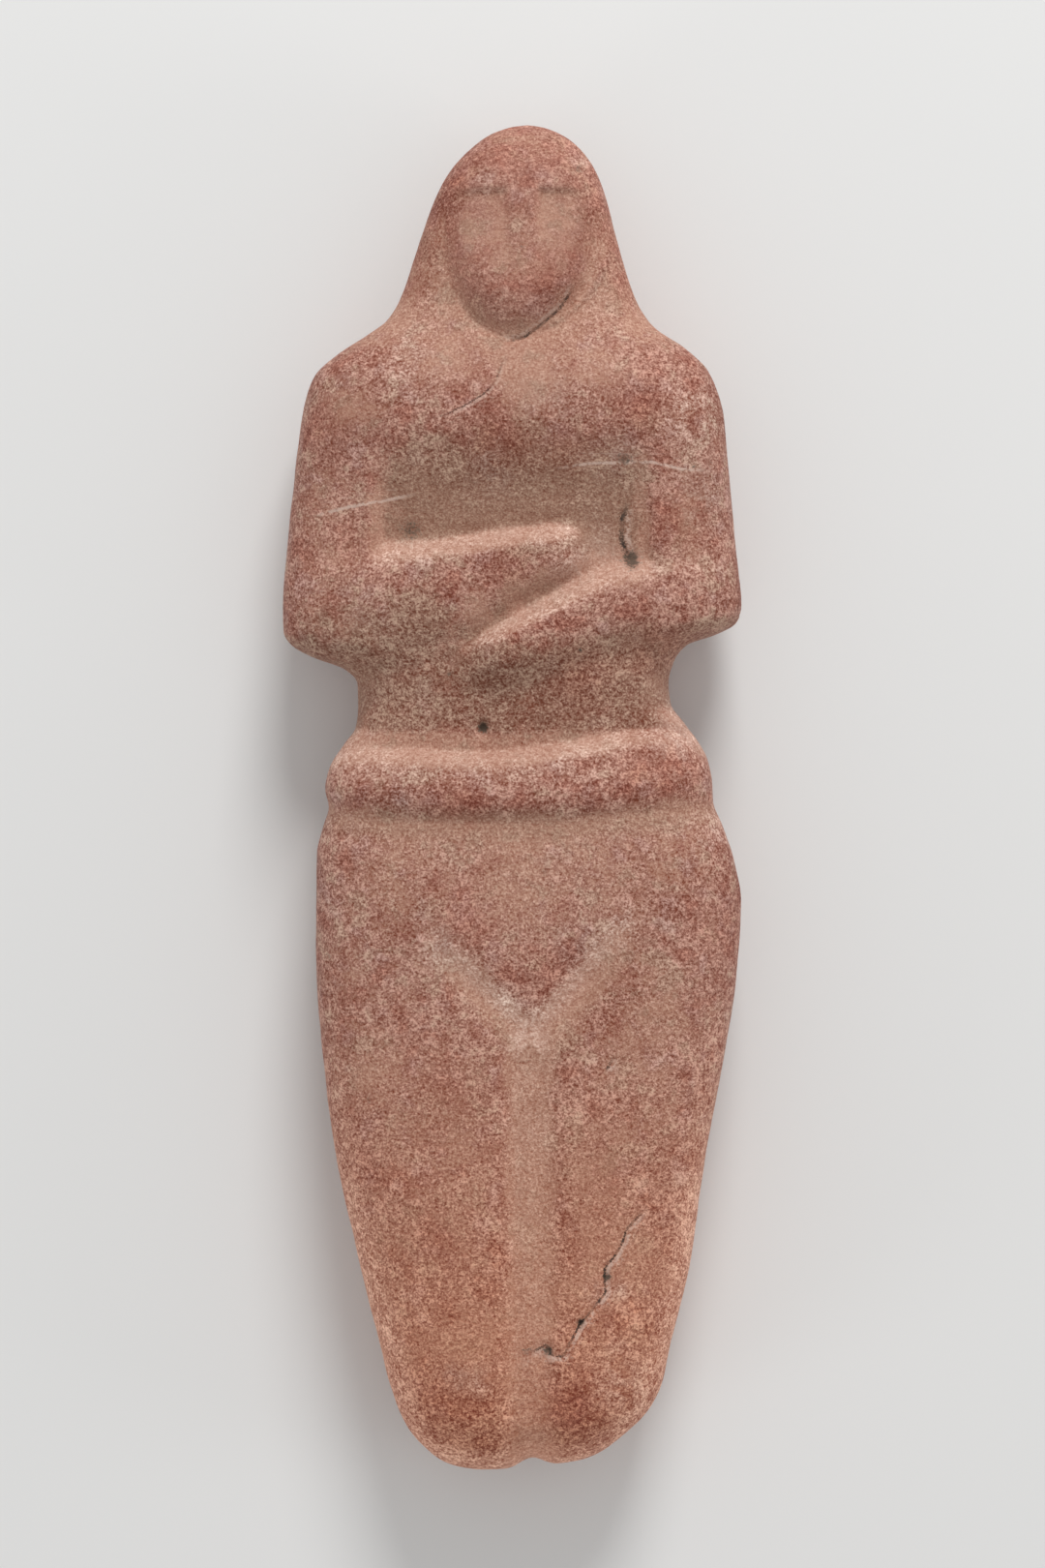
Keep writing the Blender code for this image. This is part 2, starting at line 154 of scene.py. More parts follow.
BELT = {
    "top": [(-36, 119.8), (-24, 119.2), (-6, 118.6), (4, 119.8), (20, 122.2), (34, 122.2)],
    "crest": [(-36, 115.2), (-24, 115.2), (-6, 114.6), (4, 115.6), (20, 117.8), (34, 118.2)],
    "foot": [(-36, 107.8), (-24, 107.2), (-6, 107.0), (4, 107.0), (20, 108.4), (34, 110.4)],
}


def joined(a, b, softness):
    """The higher of two forms, with a soft seam between them."""
    share = np.clip(0.5 + 0.5 * (a - b) / softness, 0.0, 1.0)
    return b * (1 - share) + a * share + softness * share * (1 - share)


def band(x, y, lines, fullness):
    """A worn band across the body: 1 on its crest, rounding down to 0 at its two feet."""
    top, crest, foot = (through(lines[name], x) for name in ("top", "crest", "foot"))
    width = np.where(y > crest, top - crest, crest - foot)
    away = np.clip(np.abs(y - crest) / width, 0.0, 1.0)
    return (1 - away ** (2 * fullness)) ** BAND_FOOT


def arms(x, y):
    """How far the crossed arms stand above the trunk."""
    rise = through(ARM_RISE, y)
    left_arm = ease((ARM_INNER_LEFT + ARM_INNER_SOFT / 2 - x) / ARM_INNER_SOFT)
    right_arm = ease((x - ARM_INNER_RIGHT + ARM_INNER_SOFT / 2) / ARM_INNER_SOFT)
    left = rise * left_arm * ease((y - through(ELBOW_LEFT, x)) / ELBOW_SOFT)
    right = rise * right_arm * ease((y - through(ELBOW_RIGHT, x)) / ELBOW_SOFT)
    upper = FOREARM_RISE * band(x, y, UPPER_FOREARM, FOREARM_FULLNESS) * ease((HAND_RIGHT - x) / HAND_SOFT)
    lower = FOREARM_RISE * band(x, y, LOWER_FOREARM, FOREARM_FULLNESS) * ease((x - HAND_LEFT) / HAND_SOFT)
    return joined(np.maximum(left, right), joined(upper, lower, ARMS_SEAM), ARMS_SEAM)


# The face is an egg left standing in the hood of hair. Its brow and nose make a T, and the eyes
# are only two shallow fields ground in beside the nose, with no mouth.

FACE_MIDDLE = (-1.4, 204.0)
FACE_LEAN = 0.02
FACE_HALF_WIDTH = 12.4
FACE_BELOW = 18.6
FACE_ABOVE = 24.0
FACE_FLANK = 5.4
FACE_FOOT = 1.3
FACE_RISE = [(180, 4.3), (190, 4.3), (198, 2.9), (206, 1.6), (214, 0.8), (222, 0.0)]
BROW_HEIGHT = 210.4
BROW_SOFT = 1.2
NOSE_PLACE = -0.7
NOSE_HALF = 1.3
NOSE_SOFT = 2.2
EYE_FOOT = 192.5
EYE_LENGTH = 15.0
EYE_LEFT = 12.2
EYE_RIGHT = 10.6
EYE_OUTER_SOFT = 3.6
EYE_DEPTH = 0.85


def eye_fields(x, y):
    """1 in the two sunken fields beside the nose, and 0 outside them."""
    beside_nose = np.abs(x - NOSE_PLACE)
    outer = np.where(x < NOSE_PLACE, EYE_LEFT, EYE_RIGHT)
    under_brow = ease((BROW_HEIGHT - y) / BROW_SOFT) * ease((y - EYE_FOOT) / EYE_LENGTH)
    across = ease((beside_nose - NOSE_HALF) / NOSE_SOFT) * ease((outer - beside_nose) / EYE_OUTER_SOFT)
    return under_brow * across


def face(x, y):
    """How far the face stands out of the hood."""
    middle_x, middle_y = FACE_MIDDLE
    half_length = np.where(y < middle_y, FACE_BELOW, FACE_ABOVE)
    leaning_x = middle_x + FACE_LEAN * np.minimum(y - middle_y, 0.0)
    from_middle = np.hypot((x - leaning_x) / FACE_HALF_WIDTH, (y - middle_y) / half_length)
    up_the_flank = np.clip((1 - from_middle) * FACE_HALF_WIDTH / FACE_FLANK, 0.0, 1.0)
    egg = through(FACE_RISE, y) * (1 - (1 - up_the_flank) ** 2) ** FACE_FOOT
    return egg - EYE_DEPTH * eye_fields(x, y)


# The V over the thighs and the line between the legs are one shallow groove, ground in with a
# narrow stone; at the foot tip it ends in a small notch. The unseen back has only a plain line.

V_POINT = (0.5, 71.6)
V_LEFT = [(-19.5, 91.5), (-11.9, 83.8), (-5.4, 77.4), V_POINT]
V_RIGHT = [(21.0, 96.0), (13.4, 86.0), (7.2, 78.4), V_POINT]
V_HALF = 3.0
V_DEPTH = 1.5
V_FADE = 0.6
LEG_LINE = [(0.5, 75.0), (0.4, 50.0), (0.6, 25.0), (0.6, -6.0)]
LEG_BOTTOM = 1.8
LEG_HALF = 2.4
LEG_DEPTH = 1.5
LEG_FADE = 0.1
TIP_FADE = 5.0
BACK_LEG_LINE = [(0.5, 84.0), (0.5, 40.0), (0.5, -6.0)]
BACK_LEG_BOTTOM = 1.2
BACK_LEG_HALF = 2.4
BACK_LEG_DEPTH = 2.1
BACK_LEG_FADE = 0.08
FOOT_SLOPE = 0.07
FOOT_SLOPE_END = 16.0
NOTCH_PLACE = 0.8
NOTCH_HALF = 2.6
NOTCH_DEPTH = 1.6
NOTCH_END = 9.0


def off_line(x, y, line):
    """Signed distance to the side of a line of points, and how far along it: 0 to 1."""
    nearest = np.full(np.shape(x), np.inf)
    side = np.ones(np.shape(x))
    along = np.zeros(np.shape(x))
    for i, ((ax, ay), (bx, by)) in enumerate(zip(line, line[1:])):
        dx, dy = bx - ax, by - ay
        t = np.clip(((x - ax) * dx + (y - ay) * dy) / (dx * dx + dy * dy), 0.0, 1.0)
        distance = np.hypot(x - ax - t * dx, y - ay - t * dy)
        closer = distance < nearest
        along = np.where(closer, (i + t) / (len(line) - 1), along)
        side = np.where(closer, np.where((x - ax) * dy > (y - ay) * dx, 1.0, -1.0), side)
        nearest = np.minimum(nearest, distance)
    return side * nearest, along


def groove(x, y, line, bottom, half, fade_in):
    """A groove along a line of points: 1 on its flat bottom, and 0 a little past its soft walls."""
    distance, along = off_line(x, y, line)
    up_the_wall = np.maximum(np.abs(distance) - bottom, 0.0) / half
    return np.exp(-(up_the_wall**2)) * ease(along / fade_in)


def front_cuts(x, y):
    """Depth of the V and of the line between the legs, as one connected cut."""
    left = groove(x, y, V_LEFT, 0.0, V_HALF, V_FADE)
    right = groove(x, y, V_RIGHT, 0.0, V_HALF, V_FADE)
    legs = groove(x, y, LEG_LINE, LEG_BOTTOM, LEG_HALF, LEG_FADE)
    v_share = V_DEPTH / LEG_DEPTH
    uncut = (1 - v_share * left) * (1 - v_share * right) * (1 - legs)
    return LEG_DEPTH * (1 - uncut) * ease(y / TIP_FADE)


def front_level(x, y):
    """Height of the carved front over the resting plane, before its edges turn down."""
    belt = BELT_RISE * band(x, y, BELT, BELT_FULLNESS)
    return through(FRONT_LINE, y) + arms(x, y) + belt + face(x, y) - front_cuts(x, y)


def back_level(x, y):
    """Height of the back over the resting plane, before its edges turn up."""
    legs = groove(x, y, BACK_LEG_LINE, BACK_LEG_BOTTOM, BACK_LEG_HALF, BACK_LEG_FADE)
    return through(BACK_LINE, y) + BACK_LEG_DEPTH * legs * ease(y / TIP_FADE)


def foot_shift(x, height):
    """How far up the foot tip moves, so that one foot is the longer and a notch parts them."""
    slope = FOOT_SLOPE * x * (1 - ease(height / FOOT_SLOPE_END))
    notch = NOTCH_DEPTH * np.exp(-(((x - NOTCH_PLACE) / NOTCH_HALF) ** 2))
    return slope + notch * (1 - ease(height / NOTCH_END))


# Marks of age and of the making: cracks, pits where grains fell out, veins of paler mineral, and the
# thin ridge that was left at the hood's edge. Each is placed on a plan of the front, on which the
# raised surface is two hundredths larger.

PLAN_SCALE = 1.02
PLAN_MIDDLE = 113.0
SHIN_CRACK = [
    (20.2, 43.8), (18.6, 42.2), (16.4, 39.8), (15.7, 37.5), (14.4, 35.3), (13.0, 33.9), (12.8, 32.3),
    (13.0, 29.4), (11.5, 27.6), (9.9, 25.6), (8.8, 24.3), (7.9, 22.7), (6.5, 20.0), (5.9, 18.9),
    (3.8, 19.1), (3.2, 20.7), (1.2, 19.6), (-1.1, 19.1),
]
CHEST_CRACK = [
    (-2.8, 187.0), (-3.9, 183.2), (-5.0, 180.1), (-6.6, 178.0), (-8.3, 176.8), (-10.3, 175.6),
    (-13.2, 174.3), (-15.3, 173.7), (-17.7, 174.3),
]
JAW_CRACK = [
    (-4.4, 186.6), (-2.8, 186.6), (-0.4, 187.2), (1.6, 188.6), (3.3, 190.0), (5.4, 191.8),
    (7.2, 194.6), (8.0, 196.8),
]
SHIN_CHIP = [(14.5, 68.6), (13.5, 67.0), (12.6, 65.4)]
CHEST_CREVICE = [(16.9, 160.6), (15.9, 157.5), (15.7, 154.0), (16.4, 151.7), (17.4, 150.4)]
CRACKS = [
    {"line": SHIN_CRACK, "half": 0.25, "depth": 0.22, "fade": 0.12, "dark": 0.95},
    {"line": SHIN_CHIP, "half": 0.26, "depth": 0.35, "fade": 0.40, "dark": 0.8},
    {"line": CHEST_CRACK, "half": 0.18, "depth": 0.10, "fade": 0.40, "dark": 0.6},
    {"line": JAW_CRACK, "half": 0.24, "depth": 0.40, "fade": 0.22, "dark": 0.8},
    {"line": CHEST_CREVICE, "half": 0.50, "depth": 0.60, "fade": 0.30, "dark": 0.95},
]
CRACK_ROUNDING = 2.0
LEFT_VEIN = [(-37.0, 157.5), (-30.0, 159.1), (-23.4, 160.3), (-17.8, 161.4)]
RIGHT_VEIN = [(3.7, 165.2), (10.3, 166.2), (20.5, 166.5), (25.6, 165.4), (32.2, 165.3)]
VEINS = [
    {"line": LEFT_VEIN, "half": 0.34, "depth": 0.0, "fade": 0.25, "dark": 0.9},
    {"line": RIGHT_VEIN, "half": 0.30, "depth": 0.0, "fade": 0.25, "dark": 0.9},
]
MARK_REACH = 1.6
MARK_SOFT = 0.5
HOOD_LINE = [(14.0, 206.0), (13.2, 200.0), (10.8, 195.8), (8.4, 192.6), (5.0, 190.0), (1.5, 188.0)]
HOOD_HALF = 0.45
HOOD_RISE = 0.42
HOOD_FADE = 0.3

# Pits and chips: the middle, half the length, half the width, the length's turn in degrees, the depth.

PITS = [
    (-7.3, 122.6, 1.30, 0.85, 90, 1.20),
    (8.8, 24.3, 0.75, 0.60, 50, 0.80),
    (13.3, 31.7, 1.60, 0.70, 75, 0.60),
    (3.4, 19.7, 1.10, 0.80, 20, 0.40),
    (0.4, 19.4, 1.30, 0.60, 0, 0.22),
    (17.5, 150.2, 1.50, 1.10, 80, 0.45),
    (-19.3, 155.0, 2.00, 1.30, 20, 0.20),
    (16.2, 166.9, 1.80, 0.45, 5, 0.25),
    (27.6, 165.9, 0.55, 0.45, 0, 0.25),
    (30.4, 166.5, 0.55, 0.45, 0, 0.22),
    (8.8, 135.3, 0.60, 0.45, 60, 0.25),
    (-12.7, 131.3, 0.70, 0.50, 10, 0.22),
    (-26.3, 61.2, 0.45, 0.45, 0, 0.30),
    (-33.0, 84.5, 0.40, 0.40, 0, 0.25),
    (-7.1, 83.5, 0.40, 0.40, 0, 0.20),
    (6.4, 218.2, 2.60, 1.30, -35, 0.30),
    (35.6, 141.3, 1.20, 0.90, 80, 0.35),
]
PIT_EDGE = 1.3


def on_plan(x, y):
    """Where a point of the drawing lies on the plan of the front."""
    return PLAN_SCALE * x, PLAN_MIDDLE + PLAN_SCALE * (y - PLAN_MIDDLE)


def mark(x, y, marks):
    """The nearest of several marks: its signed distance in half widths, its strength, its depth."""
    offset = np.full(np.shape(x), MARK_REACH)
    presence = np.zeros(np.shape(x))
    depth = np.zeros(np.shape(x))
    for one in marks:
        distance, along = off_line(x, y, one["line"])
        ends = ease(along / one["fade"]) * ease((1 - along) / one["fade"])
        near = ends * ease((MARK_REACH - np.abs(distance)) / MARK_SOFT)
        stronger = near * one["dark"] > presence
        offset = np.where(stronger, distance / one["half"], offset)
        presence = np.where(stronger, near * one["dark"], presence)
        depth = np.where(stronger, one["depth"] * near, depth)
    return offset, presence, depth


def pits(x, y):
    """Depth of the pits and chips."""
    depth = np.zeros(np.shape(x))
    for place_x, place_y, half_length, half_width, turn, deep in PITS:
        angle = np.radians(turn)
        long_way = (x - place_x) * np.cos(angle) + (y - place_y) * np.sin(angle)
        short_way = (y - place_y) * np.cos(angle) - (x - place_x) * np.sin(angle)
        away = (long_way / half_length) ** 2 + (short_way / half_width) ** 2
        depth = depth + deep * np.exp(-(away**PIT_EDGE))
    return depth


def hood_ridge(x, y):
    """How far the thin ridge at the hood's edge stands up."""
    distance, along = off_line(x, y, HOOD_LINE)
    ends = ease(along / HOOD_FADE) * ease((1 - along) / HOOD_FADE)
    return HOOD_RISE * np.exp(-((distance / HOOD_HALF) ** 2)) * ends


# The finished surface: a closed skin over rings of points, fine enough for the wear to be real
# relief. The ground faces still wave a little, as the pecking left them.

FRONT_POINTS = 206
BACK_POINTS = 40
RINGS = 402
CLOSER_FROM = 98.0
CLOSER_SOFT = 12.0
CLOSER = 0.25
USUAL_HALF_WIDTH = 34.0
USUAL_HALF_DEPTH = 14.0
FINE_STEPS = 8001
WAVES = [(11.0, 0.16), (4.6, 0.08), (1.7, 0.035)]
WAVE_SEEDS = [3.1, 17.7, 41.3]
NO_LENGTH = 1e-9


def section_shape(angles):
    """A rounded box's section: the share of its reach sideways, and of its rise."""
    across = np.sign(np.cos(angles)) * np.abs(np.cos(angles)) ** (2 / ROUNDNESS)
    up = np.abs(np.sin(angles)) ** (2 / ROUNDNESS)
    return across, up


def ring_angles():
    """Angles round a section, spaced evenly along its outline: first the front, then the back."""
    turn = np.linspace(0.0, np.pi, FINE_STEPS)
    across, up = section_shape(turn)
    pieces = np.hypot(np.diff(across) * USUAL_HALF_WIDTH, np.diff(up) * USUAL_HALF_DEPTH)
    travel = np.concatenate([[0.0], np.cumsum(pieces)])
    front = np.interp(np.linspace(0.0, travel[-1], FRONT_POINTS + 1)[:-1], travel, turn)
    back = np.interp(np.linspace(0.0, travel[-1], BACK_POINTS + 1)[:-1], travel, turn) + np.pi
    return np.concatenate([front, back])


def ring_heights():
    """Heights of the rings: evenly spaced along the surface, and a little closer from the waist up."""
    crown = LEFT_EDGE[-1][0]
    fine = (1 - np.cos(np.linspace(0.0, np.pi, FINE_STEPS))) / 2 * crown
    lines = [fine, reach(LEFT_EDGE, fine), reach(RIGHT_EDGE, fine), through(FRONT_LINE, fine)]
    pieces = np.sqrt(sum(np.diff(line) ** 2 for line in lines))
    closer = 1 + CLOSER * ease((fine[1:] - CLOSER_FROM) / CLOSER_SOFT)
    travel = np.concatenate([[0.0], np.cumsum(pieces * closer)])
    return np.interp(np.linspace(0.0, travel[-1], RINGS + 2), travel, fine)[1:-1]


def drawn_rings():
    """The unworn idol as a grid of points, ring by ring, in the drawing's millimetres."""
    across, up = section_shape(ring_angles())
    heights = ring_heights()[:, None]
    left, right = reach(LEFT_EDGE, heights), reach(RIGHT_EDGE, heights)
    x = across * np.where(across < 0, left, right)
    y = heights + 0 * x
    widest = through(WIDEST_LINE, y)
    front_side = np.arange(len(across)) < FRONT_POINTS
    level = np.where(front_side, front_level(x, y), back_level(x, y))
    return np.dstack([x, y + foot_shift(x, y), widest + (level - widest) * up]), front_side


def smoothed(grid, passes):
    """The grid of points with its small forms evened out, round each ring and along the body."""
    for _ in range(passes):
        grid = (np.roll(grid, 1, axis=1) + 2 * grid + np.roll(grid, -1, axis=1)) / 4
        before = np.vstack([grid[:1], grid[:-1]])
        after = np.vstack([grid[1:], grid[-1:]])
        grid = (before + 2 * grid + after) / 4
    return grid


def outward(grid):
    """The direction that the surface faces at each point of the grid."""
    round_ring = np.roll(grid, -1, axis=1) - np.roll(grid, 1, axis=1)
    up_body = np.gradient(grid, axis=0)
    normal = np.cross(round_ring, up_body)
    normal = normal / np.maximum(np.linalg.norm(normal, axis=2, keepdims=True), NO_LENGTH)
    front_middle = normal[:, FRONT_POINTS // 2, 2].mean()
    return normal * np.sign(front_middle)


def waves(grid):
    """The small unevenness that pecking and grinding left, in millimetres."""
    rise = np.zeros(grid.shape[:2])
    flat = grid.reshape(-1, 3)
    for (size, height), seed in zip(WAVES, WAVE_SEEDS):
        shift = Vector((seed, seed, seed))
        wave = [noise.noise(Vector(point) / size + shift) for point in flat]
        rise = rise + height * np.array(wave).reshape(rise.shape)
    return rise


drawn, front_side = drawn_rings()
drawn_x, drawn_y = drawn[:, :, 0], drawn[:, :, 1]
facing = outward(drawn)
plan_x, plan_y = on_plan(drawn_x, drawn_y)
crack_offset, crack_presence, crack_depth = mark(plan_x, plan_y, CRACKS)
vein_offset, vein_presence, _ = mark(plan_x, plan_y, VEINS)
crack_shape = crack_depth * np.exp(-(crack_offset**2) / CRACK_ROUNDING)
damage = crack_shape + pits(plan_x, plan_y) - hood_ridge(plan_x, plan_y)
damage = np.where(front_side, damage, 0.0)
worn = drawn + facing * (waves(drawn) - damage)[:, :, None]

# The worn skin is fitted to the CAD part's box, and none of it goes below the ground.

MM = 0.001
box_low, box_high = (np.array(corner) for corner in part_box("idol"))
low, high = drawn.min(axis=(0, 1)), drawn.max(axis=(0, 1))
stretch = (box_high - box_low) / np.array([high[0] - low[0], high[1] - low[1], high[2]])
fitted = (worn - [low[0], low[1], 0.0]) * stretch + [box_low[0], box_low[1], 0.0]
fitted[:, :, 2] = np.maximum(fitted[:, :, 2], 0.0)


# Where the stone differs: paler on its ledges that face the head end, which is painted highlight, tan in its
# hollows, brown over the chest and waist with painted shade on its undersides, and reddened, soiled and
# paled in patches. Each value is worked out for every point of the front and carried by the mesh. A patch is
# its middle, its radius and its strength.

RED_PATCHES = [
    (7.4, 10.6, 5.2, 1.0), (24.0, 115.5, 4.5, 0.9), (19.0, 115.4, 4.0, 0.8), (-10.8, 109.6, 3.6, 0.7),
    (5.5, 149.6, 3.2, 0.6), (-3.0, 149.0, 3.5, 0.5), (-34.5, 172.0, 4.0, 0.5), (-28.0, 152.0, 4.0, 0.4),
    (-12.2, 214.0, 3.4, 0.9), (-10.0, 218.0, 3.0, 0.6), (14.5, 203.0, 2.5, 0.5), (3.0, 196.5, 4.0, 0.6),
    (19.5, 176.0, 5.5, 0.8), (27.0, 179.5, 3.0, 0.3), (25.0, 157.0, 3.8, 0.6), (-5.0, 171.0, 5.0, 0.7),
    (6.0, 170.0, 5.0, 0.4), (32.0, 90.0, 4.0, 0.5), (5.5, 82.5, 4.5, 0.6), (-9.0, 91.5, 5.0, 0.5),
    (-28.0, 50.0, 4.5, 0.3), (-13.0, 62.0, 5.0, 0.4), (-14.0, 38.0, 6.0, 0.3), (22.0, 136.0, 5.0, 0.5),
    (9.0, 131.0, 5.0, 0.5), (12.0, 50.0, 5.0, 0.3), (-17.0, 13.0, 4.5, 0.4), (11.0, 4.0, 3.0, 0.6),
]
SOIL_PATCHES = [
    (-19.3, 155.4, 1.7, 0.62), (17.3, 150.6, 1.6, 0.95), (16.2, 167.0, 1.5, 0.55), (-7.3, 122.6, 0.8, 1.5),
    (13.2, 31.9, 0.7, 1.1), (8.8, 24.4, 0.6, 1.3), (3.4, 19.6, 0.8, 1.0), (-0.9, 202.2, 0.6, 0.5),
    (0.0, 19.3, 1.2, 0.4), (8.8, 135.3, 0.5, 0.6), (-12.7, 131.3, 0.6, 0.5), (-26.3, 61.2, 0.4, 0.8),
    (-33.0, 84.5, 0.35, 0.7), (-7.1, 83.5, 0.35, 0.6), (27.6, 165.9, 0.5, 0.6), (30.4, 166.5, 0.5, 0.6),
    (8.6, 215.6, 0.8, 0.5),
]
GREY_PATCHES = [
    (-20.5, 110.8, 2.4, 0.5), (-15.0, 87.0, 3.2, 0.6), (8.5, 87.0, 3.6, 0.6), (12.0, 30.0, 2.2, 0.6),
    (2.0, 18.0, 3.0, 0.5), (-11.5, 15.4, 2.4, 0.5), (4.5, 176.0, 4.0, 0.4), (14.0, 168.0, 4.0, 0.4),
    (25.0, 121.5, 4.5, 0.5), (-26.0, 143.0, 4.0, 0.5), (30.0, 161.0, 5.0, 0.5), (-6.0, 165.5, 4.0, 0.4),
]
# The two brown patches in the trough between the forearms, at (-4.0, 142.0) and (1.0, 143.4), are painted
# shade.
BROWN_PATCHES = [
    (-4.0, 142.0, 2.6, 0.6), (1.0, 143.4, 2.4, 0.6), (-3.0, 163.0, 8.0, 0.5), (30.0, 136.5, 4.0, 0.5),
    (-27.0, 137.0, 7.0, 0.9), (-34.0, 139.0, 5.0, 0.6), (-21.0, 127.0, 6.0, 0.6), (-18.0, 140.0, 8.0, 0.9),
    (-22.0, 133.5, 7.0, 0.7), (-8.0, 137.0, 5.0, 0.7), (0.0, 127.0, 9.0, 0.5), (12.0, 128.5, 7.0, 0.5),
    (-14.0, 128.0, 7.0, 0.5), (27.0, 140.0, 4.0, 0.4), (-30.0, 146.0, 4.0, 0.4),
]
# The dark patches along the belt's lower edge, near y 110, and the one in the trough between the forearms at
# (-2.0, 142.3) are painted shade.
DARK_PATCHES = [
    (-4.0, 170.5, 6.5, 0.8), (-11.0, 168.5, 5.0, 0.5), (-2.0, 196.5, 4.0, 0.5), (29.0, 155.0, 7.0, 0.5),
    (19.5, 175.5, 4.0, 0.9), (14.0, 178.0, 4.0, 0.6), (-24.0, 109.8, 3.2, 0.6), (10.0, 110.2, 3.2, 0.7),
    (18.0, 111.2, 3.2, 0.6), (26.0, 112.2, 3.2, 0.3), (25.0, 96.0, 7.0, 0.5), (5.0, 166.5, 4.0, 0.6),
    (-29.0, 175.0, 7.0, 1.0), (-13.0, 210.0, 3.5, 1.8), (34.0, 176.0, 4.0, 1.0), (37.0, 147.5, 4.0, 1.1),
    (35.0, 99.0, 4.0, 0.8), (-16.0, 116.5, 5.0, 0.8), (-6.0, 116.8, 5.0, 0.8), (2.0, 117.0, 4.5, 0.6),
    (9.0, 203.0, 2.2, 1.1), (9.8, 207.0, 2.2, 0.9), (20.5, 87.5, 3.5, 0.7), (23.0, 92.0, 4.0, 0.7),
    (-15.2, 79.5, 2.5, 0.7), (-15.5, 203.0, 3.0, 1.2), (-9.0, 216.5, 3.5, 1.2), (-17.0, 197.0, 3.0, 0.9),
    (0.0, 215.0, 5.0, 0.5), (-2.0, 142.3, 3.0, 0.6), (0.0, 181.5, 7.0, 0.5), (-6.0, 147.5, 4.0, 0.6),
    (-3.0, 132.0, 4.5, 0.9), (5.0, 132.5, 4.5, 0.4), (13.0, 134.5, 4.0, 0.2), (0.0, 126.5, 6.0, 1.0),
    (8.0, 128.0, 5.0, 1.0), (-9.0, 128.0, 5.0, 0.8), (15.0, 127.0, 5.0, 1.0), (20.0, 124.0, 4.0, 0.8),
    (-16.0, 109.6, 3.5, 0.6), (-8.0, 109.4, 3.5, 0.6), (2.0, 109.4, 3.5, 0.4), (-21.0, 90.5, 6.0, 0.6),
    (16.0, 78.0, 6.0, 0.6), (12.0, 74.0, 5.0, 0.5), (4.5, 194.0, 4.0, 0.7), (-13.0, 60.0, 6.0, 0.4),
    (-14.0, 36.0, 7.0, 0.4), (20.0, 54.0, 7.0, 0.3), (8.0, 42.0, 5.0, 0.4), (7.5, 12.0, 5.0, 1.1),
    (9.5, 8.0, 4.0, 0.6), (-9.0, 9.0, 5.0, 0.5), (-32.0, 168.0, 4.0, 0.5), (24.0, 156.0, 4.0, 0.7),
]
# The pale patch at the hand's end, at (7.2, 149.4), is painted light on the band's shaded lower face.
PALE_PATCHES = [
    (0.0, 181.0, 7.0, 0.2), (12.0, 181.0, 6.0, 0.2), (15.5, 14.0, 5.0, 0.4), (-14.6, 85.0, 2.2, 0.8),
    (15.8, 89.5, 2.2, 0.8), (12.5, 152.6, 3.6, 0.6), (25.5, 128.0, 3.5, 0.6), (27.0, 175.0, 5.0, 0.8),
    (7.2, 149.4, 3.6, 0.9), (-20.0, 183.5, 5.0, 0.5), (9.3, 217.0, 1.0, 0.6), (15.5, 30.0, 1.6, 0.5),
    (-8.0, 14.6, 2.2, 0.5),
]
SMOOTH_PATCHES = [
    (-7.5, 142.4, 3.4, 0.9), (-2.0, 144.2, 3.4, 1.0), (3.5, 146.2, 3.0, 1.0), (9.0, 148.4, 3.2, 1.0),
    (-29.0, 175.0, 6.0, 0.8), (0.0, 181.5, 7.0, 0.9), (-12.0, 184.0, 6.0, 0.8), (13.0, 183.0, 6.0, 0.8),
    (13.5, 150.5, 5.0, 1.0), (18.0, 148.5, 4.0, 0.8), (10.0, 153.5, 4.0, 0.8), (-24.5, 160.0, 2.6, 0.9),
    (-24.5, 166.0, 2.4, 0.7), (-24.0, 154.5, 3.0, 0.9), (-30.0, 122.0, 5.0, 0.8), (27.0, 124.0, 5.0, 0.8),
    (-30.0, 127.0, 4.0, 0.8), (22.0, 130.0, 4.0, 0.7),
]


def patches(spots):
    """How strongly the nearest of several round patches shows."""
    strength = np.zeros(np.shape(plan_x))
    for place_x, place_y, radius, strong in spots:
        away = np.hypot(plan_x - place_x, plan_y - place_y) / radius
        strength = np.maximum(strength, strong * np.exp(-(away**2)))
    return strength


def on_front(values):
    """The values on the front, and 0 on the back."""
    return np.where(front_side, values, 0.0)


# Ledges face the head end and undersides the feet. The ledges get painted highlight and the undersides
# painted shade, which is also painted under the brow and under the belt. The rims of the legs face sideways
# and get painted side light.

LEDGE_SLOPE = 0.14
LEDGE_SOFT = 0.46
LEDGES_TOP = 168.0
LEDGES_TOP_SOFT = 8.0
UNDER_SLOPE = 0.18
UNDER_SOFT = 0.40
UNDER_FOOT = 20.0
UNDER_FOOT_SOFT = 10.0
BELT_SHADE_DROP = 1.0
BELT_SHADE_HALF = 1.8
RIM_SLOPE = 0.50
RIM_SOFT = 0.35
RIM_TOP = 85.0
RIM_TOP_SOFT = 60.0

lit_ledges = ease((facing[:, :, 1] - LEDGE_SLOPE) / LEDGE_SOFT) * ease((LEDGES_TOP - drawn_y) / LEDGES_TOP_SOFT)
underside_shade = ease((-facing[:, :, 1] - UNDER_SLOPE) / UNDER_SOFT)
underside_shade = underside_shade * ease((drawn_y - UNDER_FOOT) / UNDER_FOOT_SOFT)
off_nose = np.abs(drawn_x - NOSE_PLACE)
# Painted shadow: a thin band just under the brow, beside the nose.
under_brow = np.exp(-(((drawn_y - BROW_HEIGHT + BROW_SOFT) / BROW_SOFT) ** 2))
beside_nose = ease((off_nose - NOSE_HALF) / NOSE_SOFT) * ease((EYE_LEFT - off_nose) / NOSE_SOFT)
underside_shade = np.maximum(underside_shade, under_brow * beside_nose)
belt_foot = through(BELT["foot"], drawn_x)
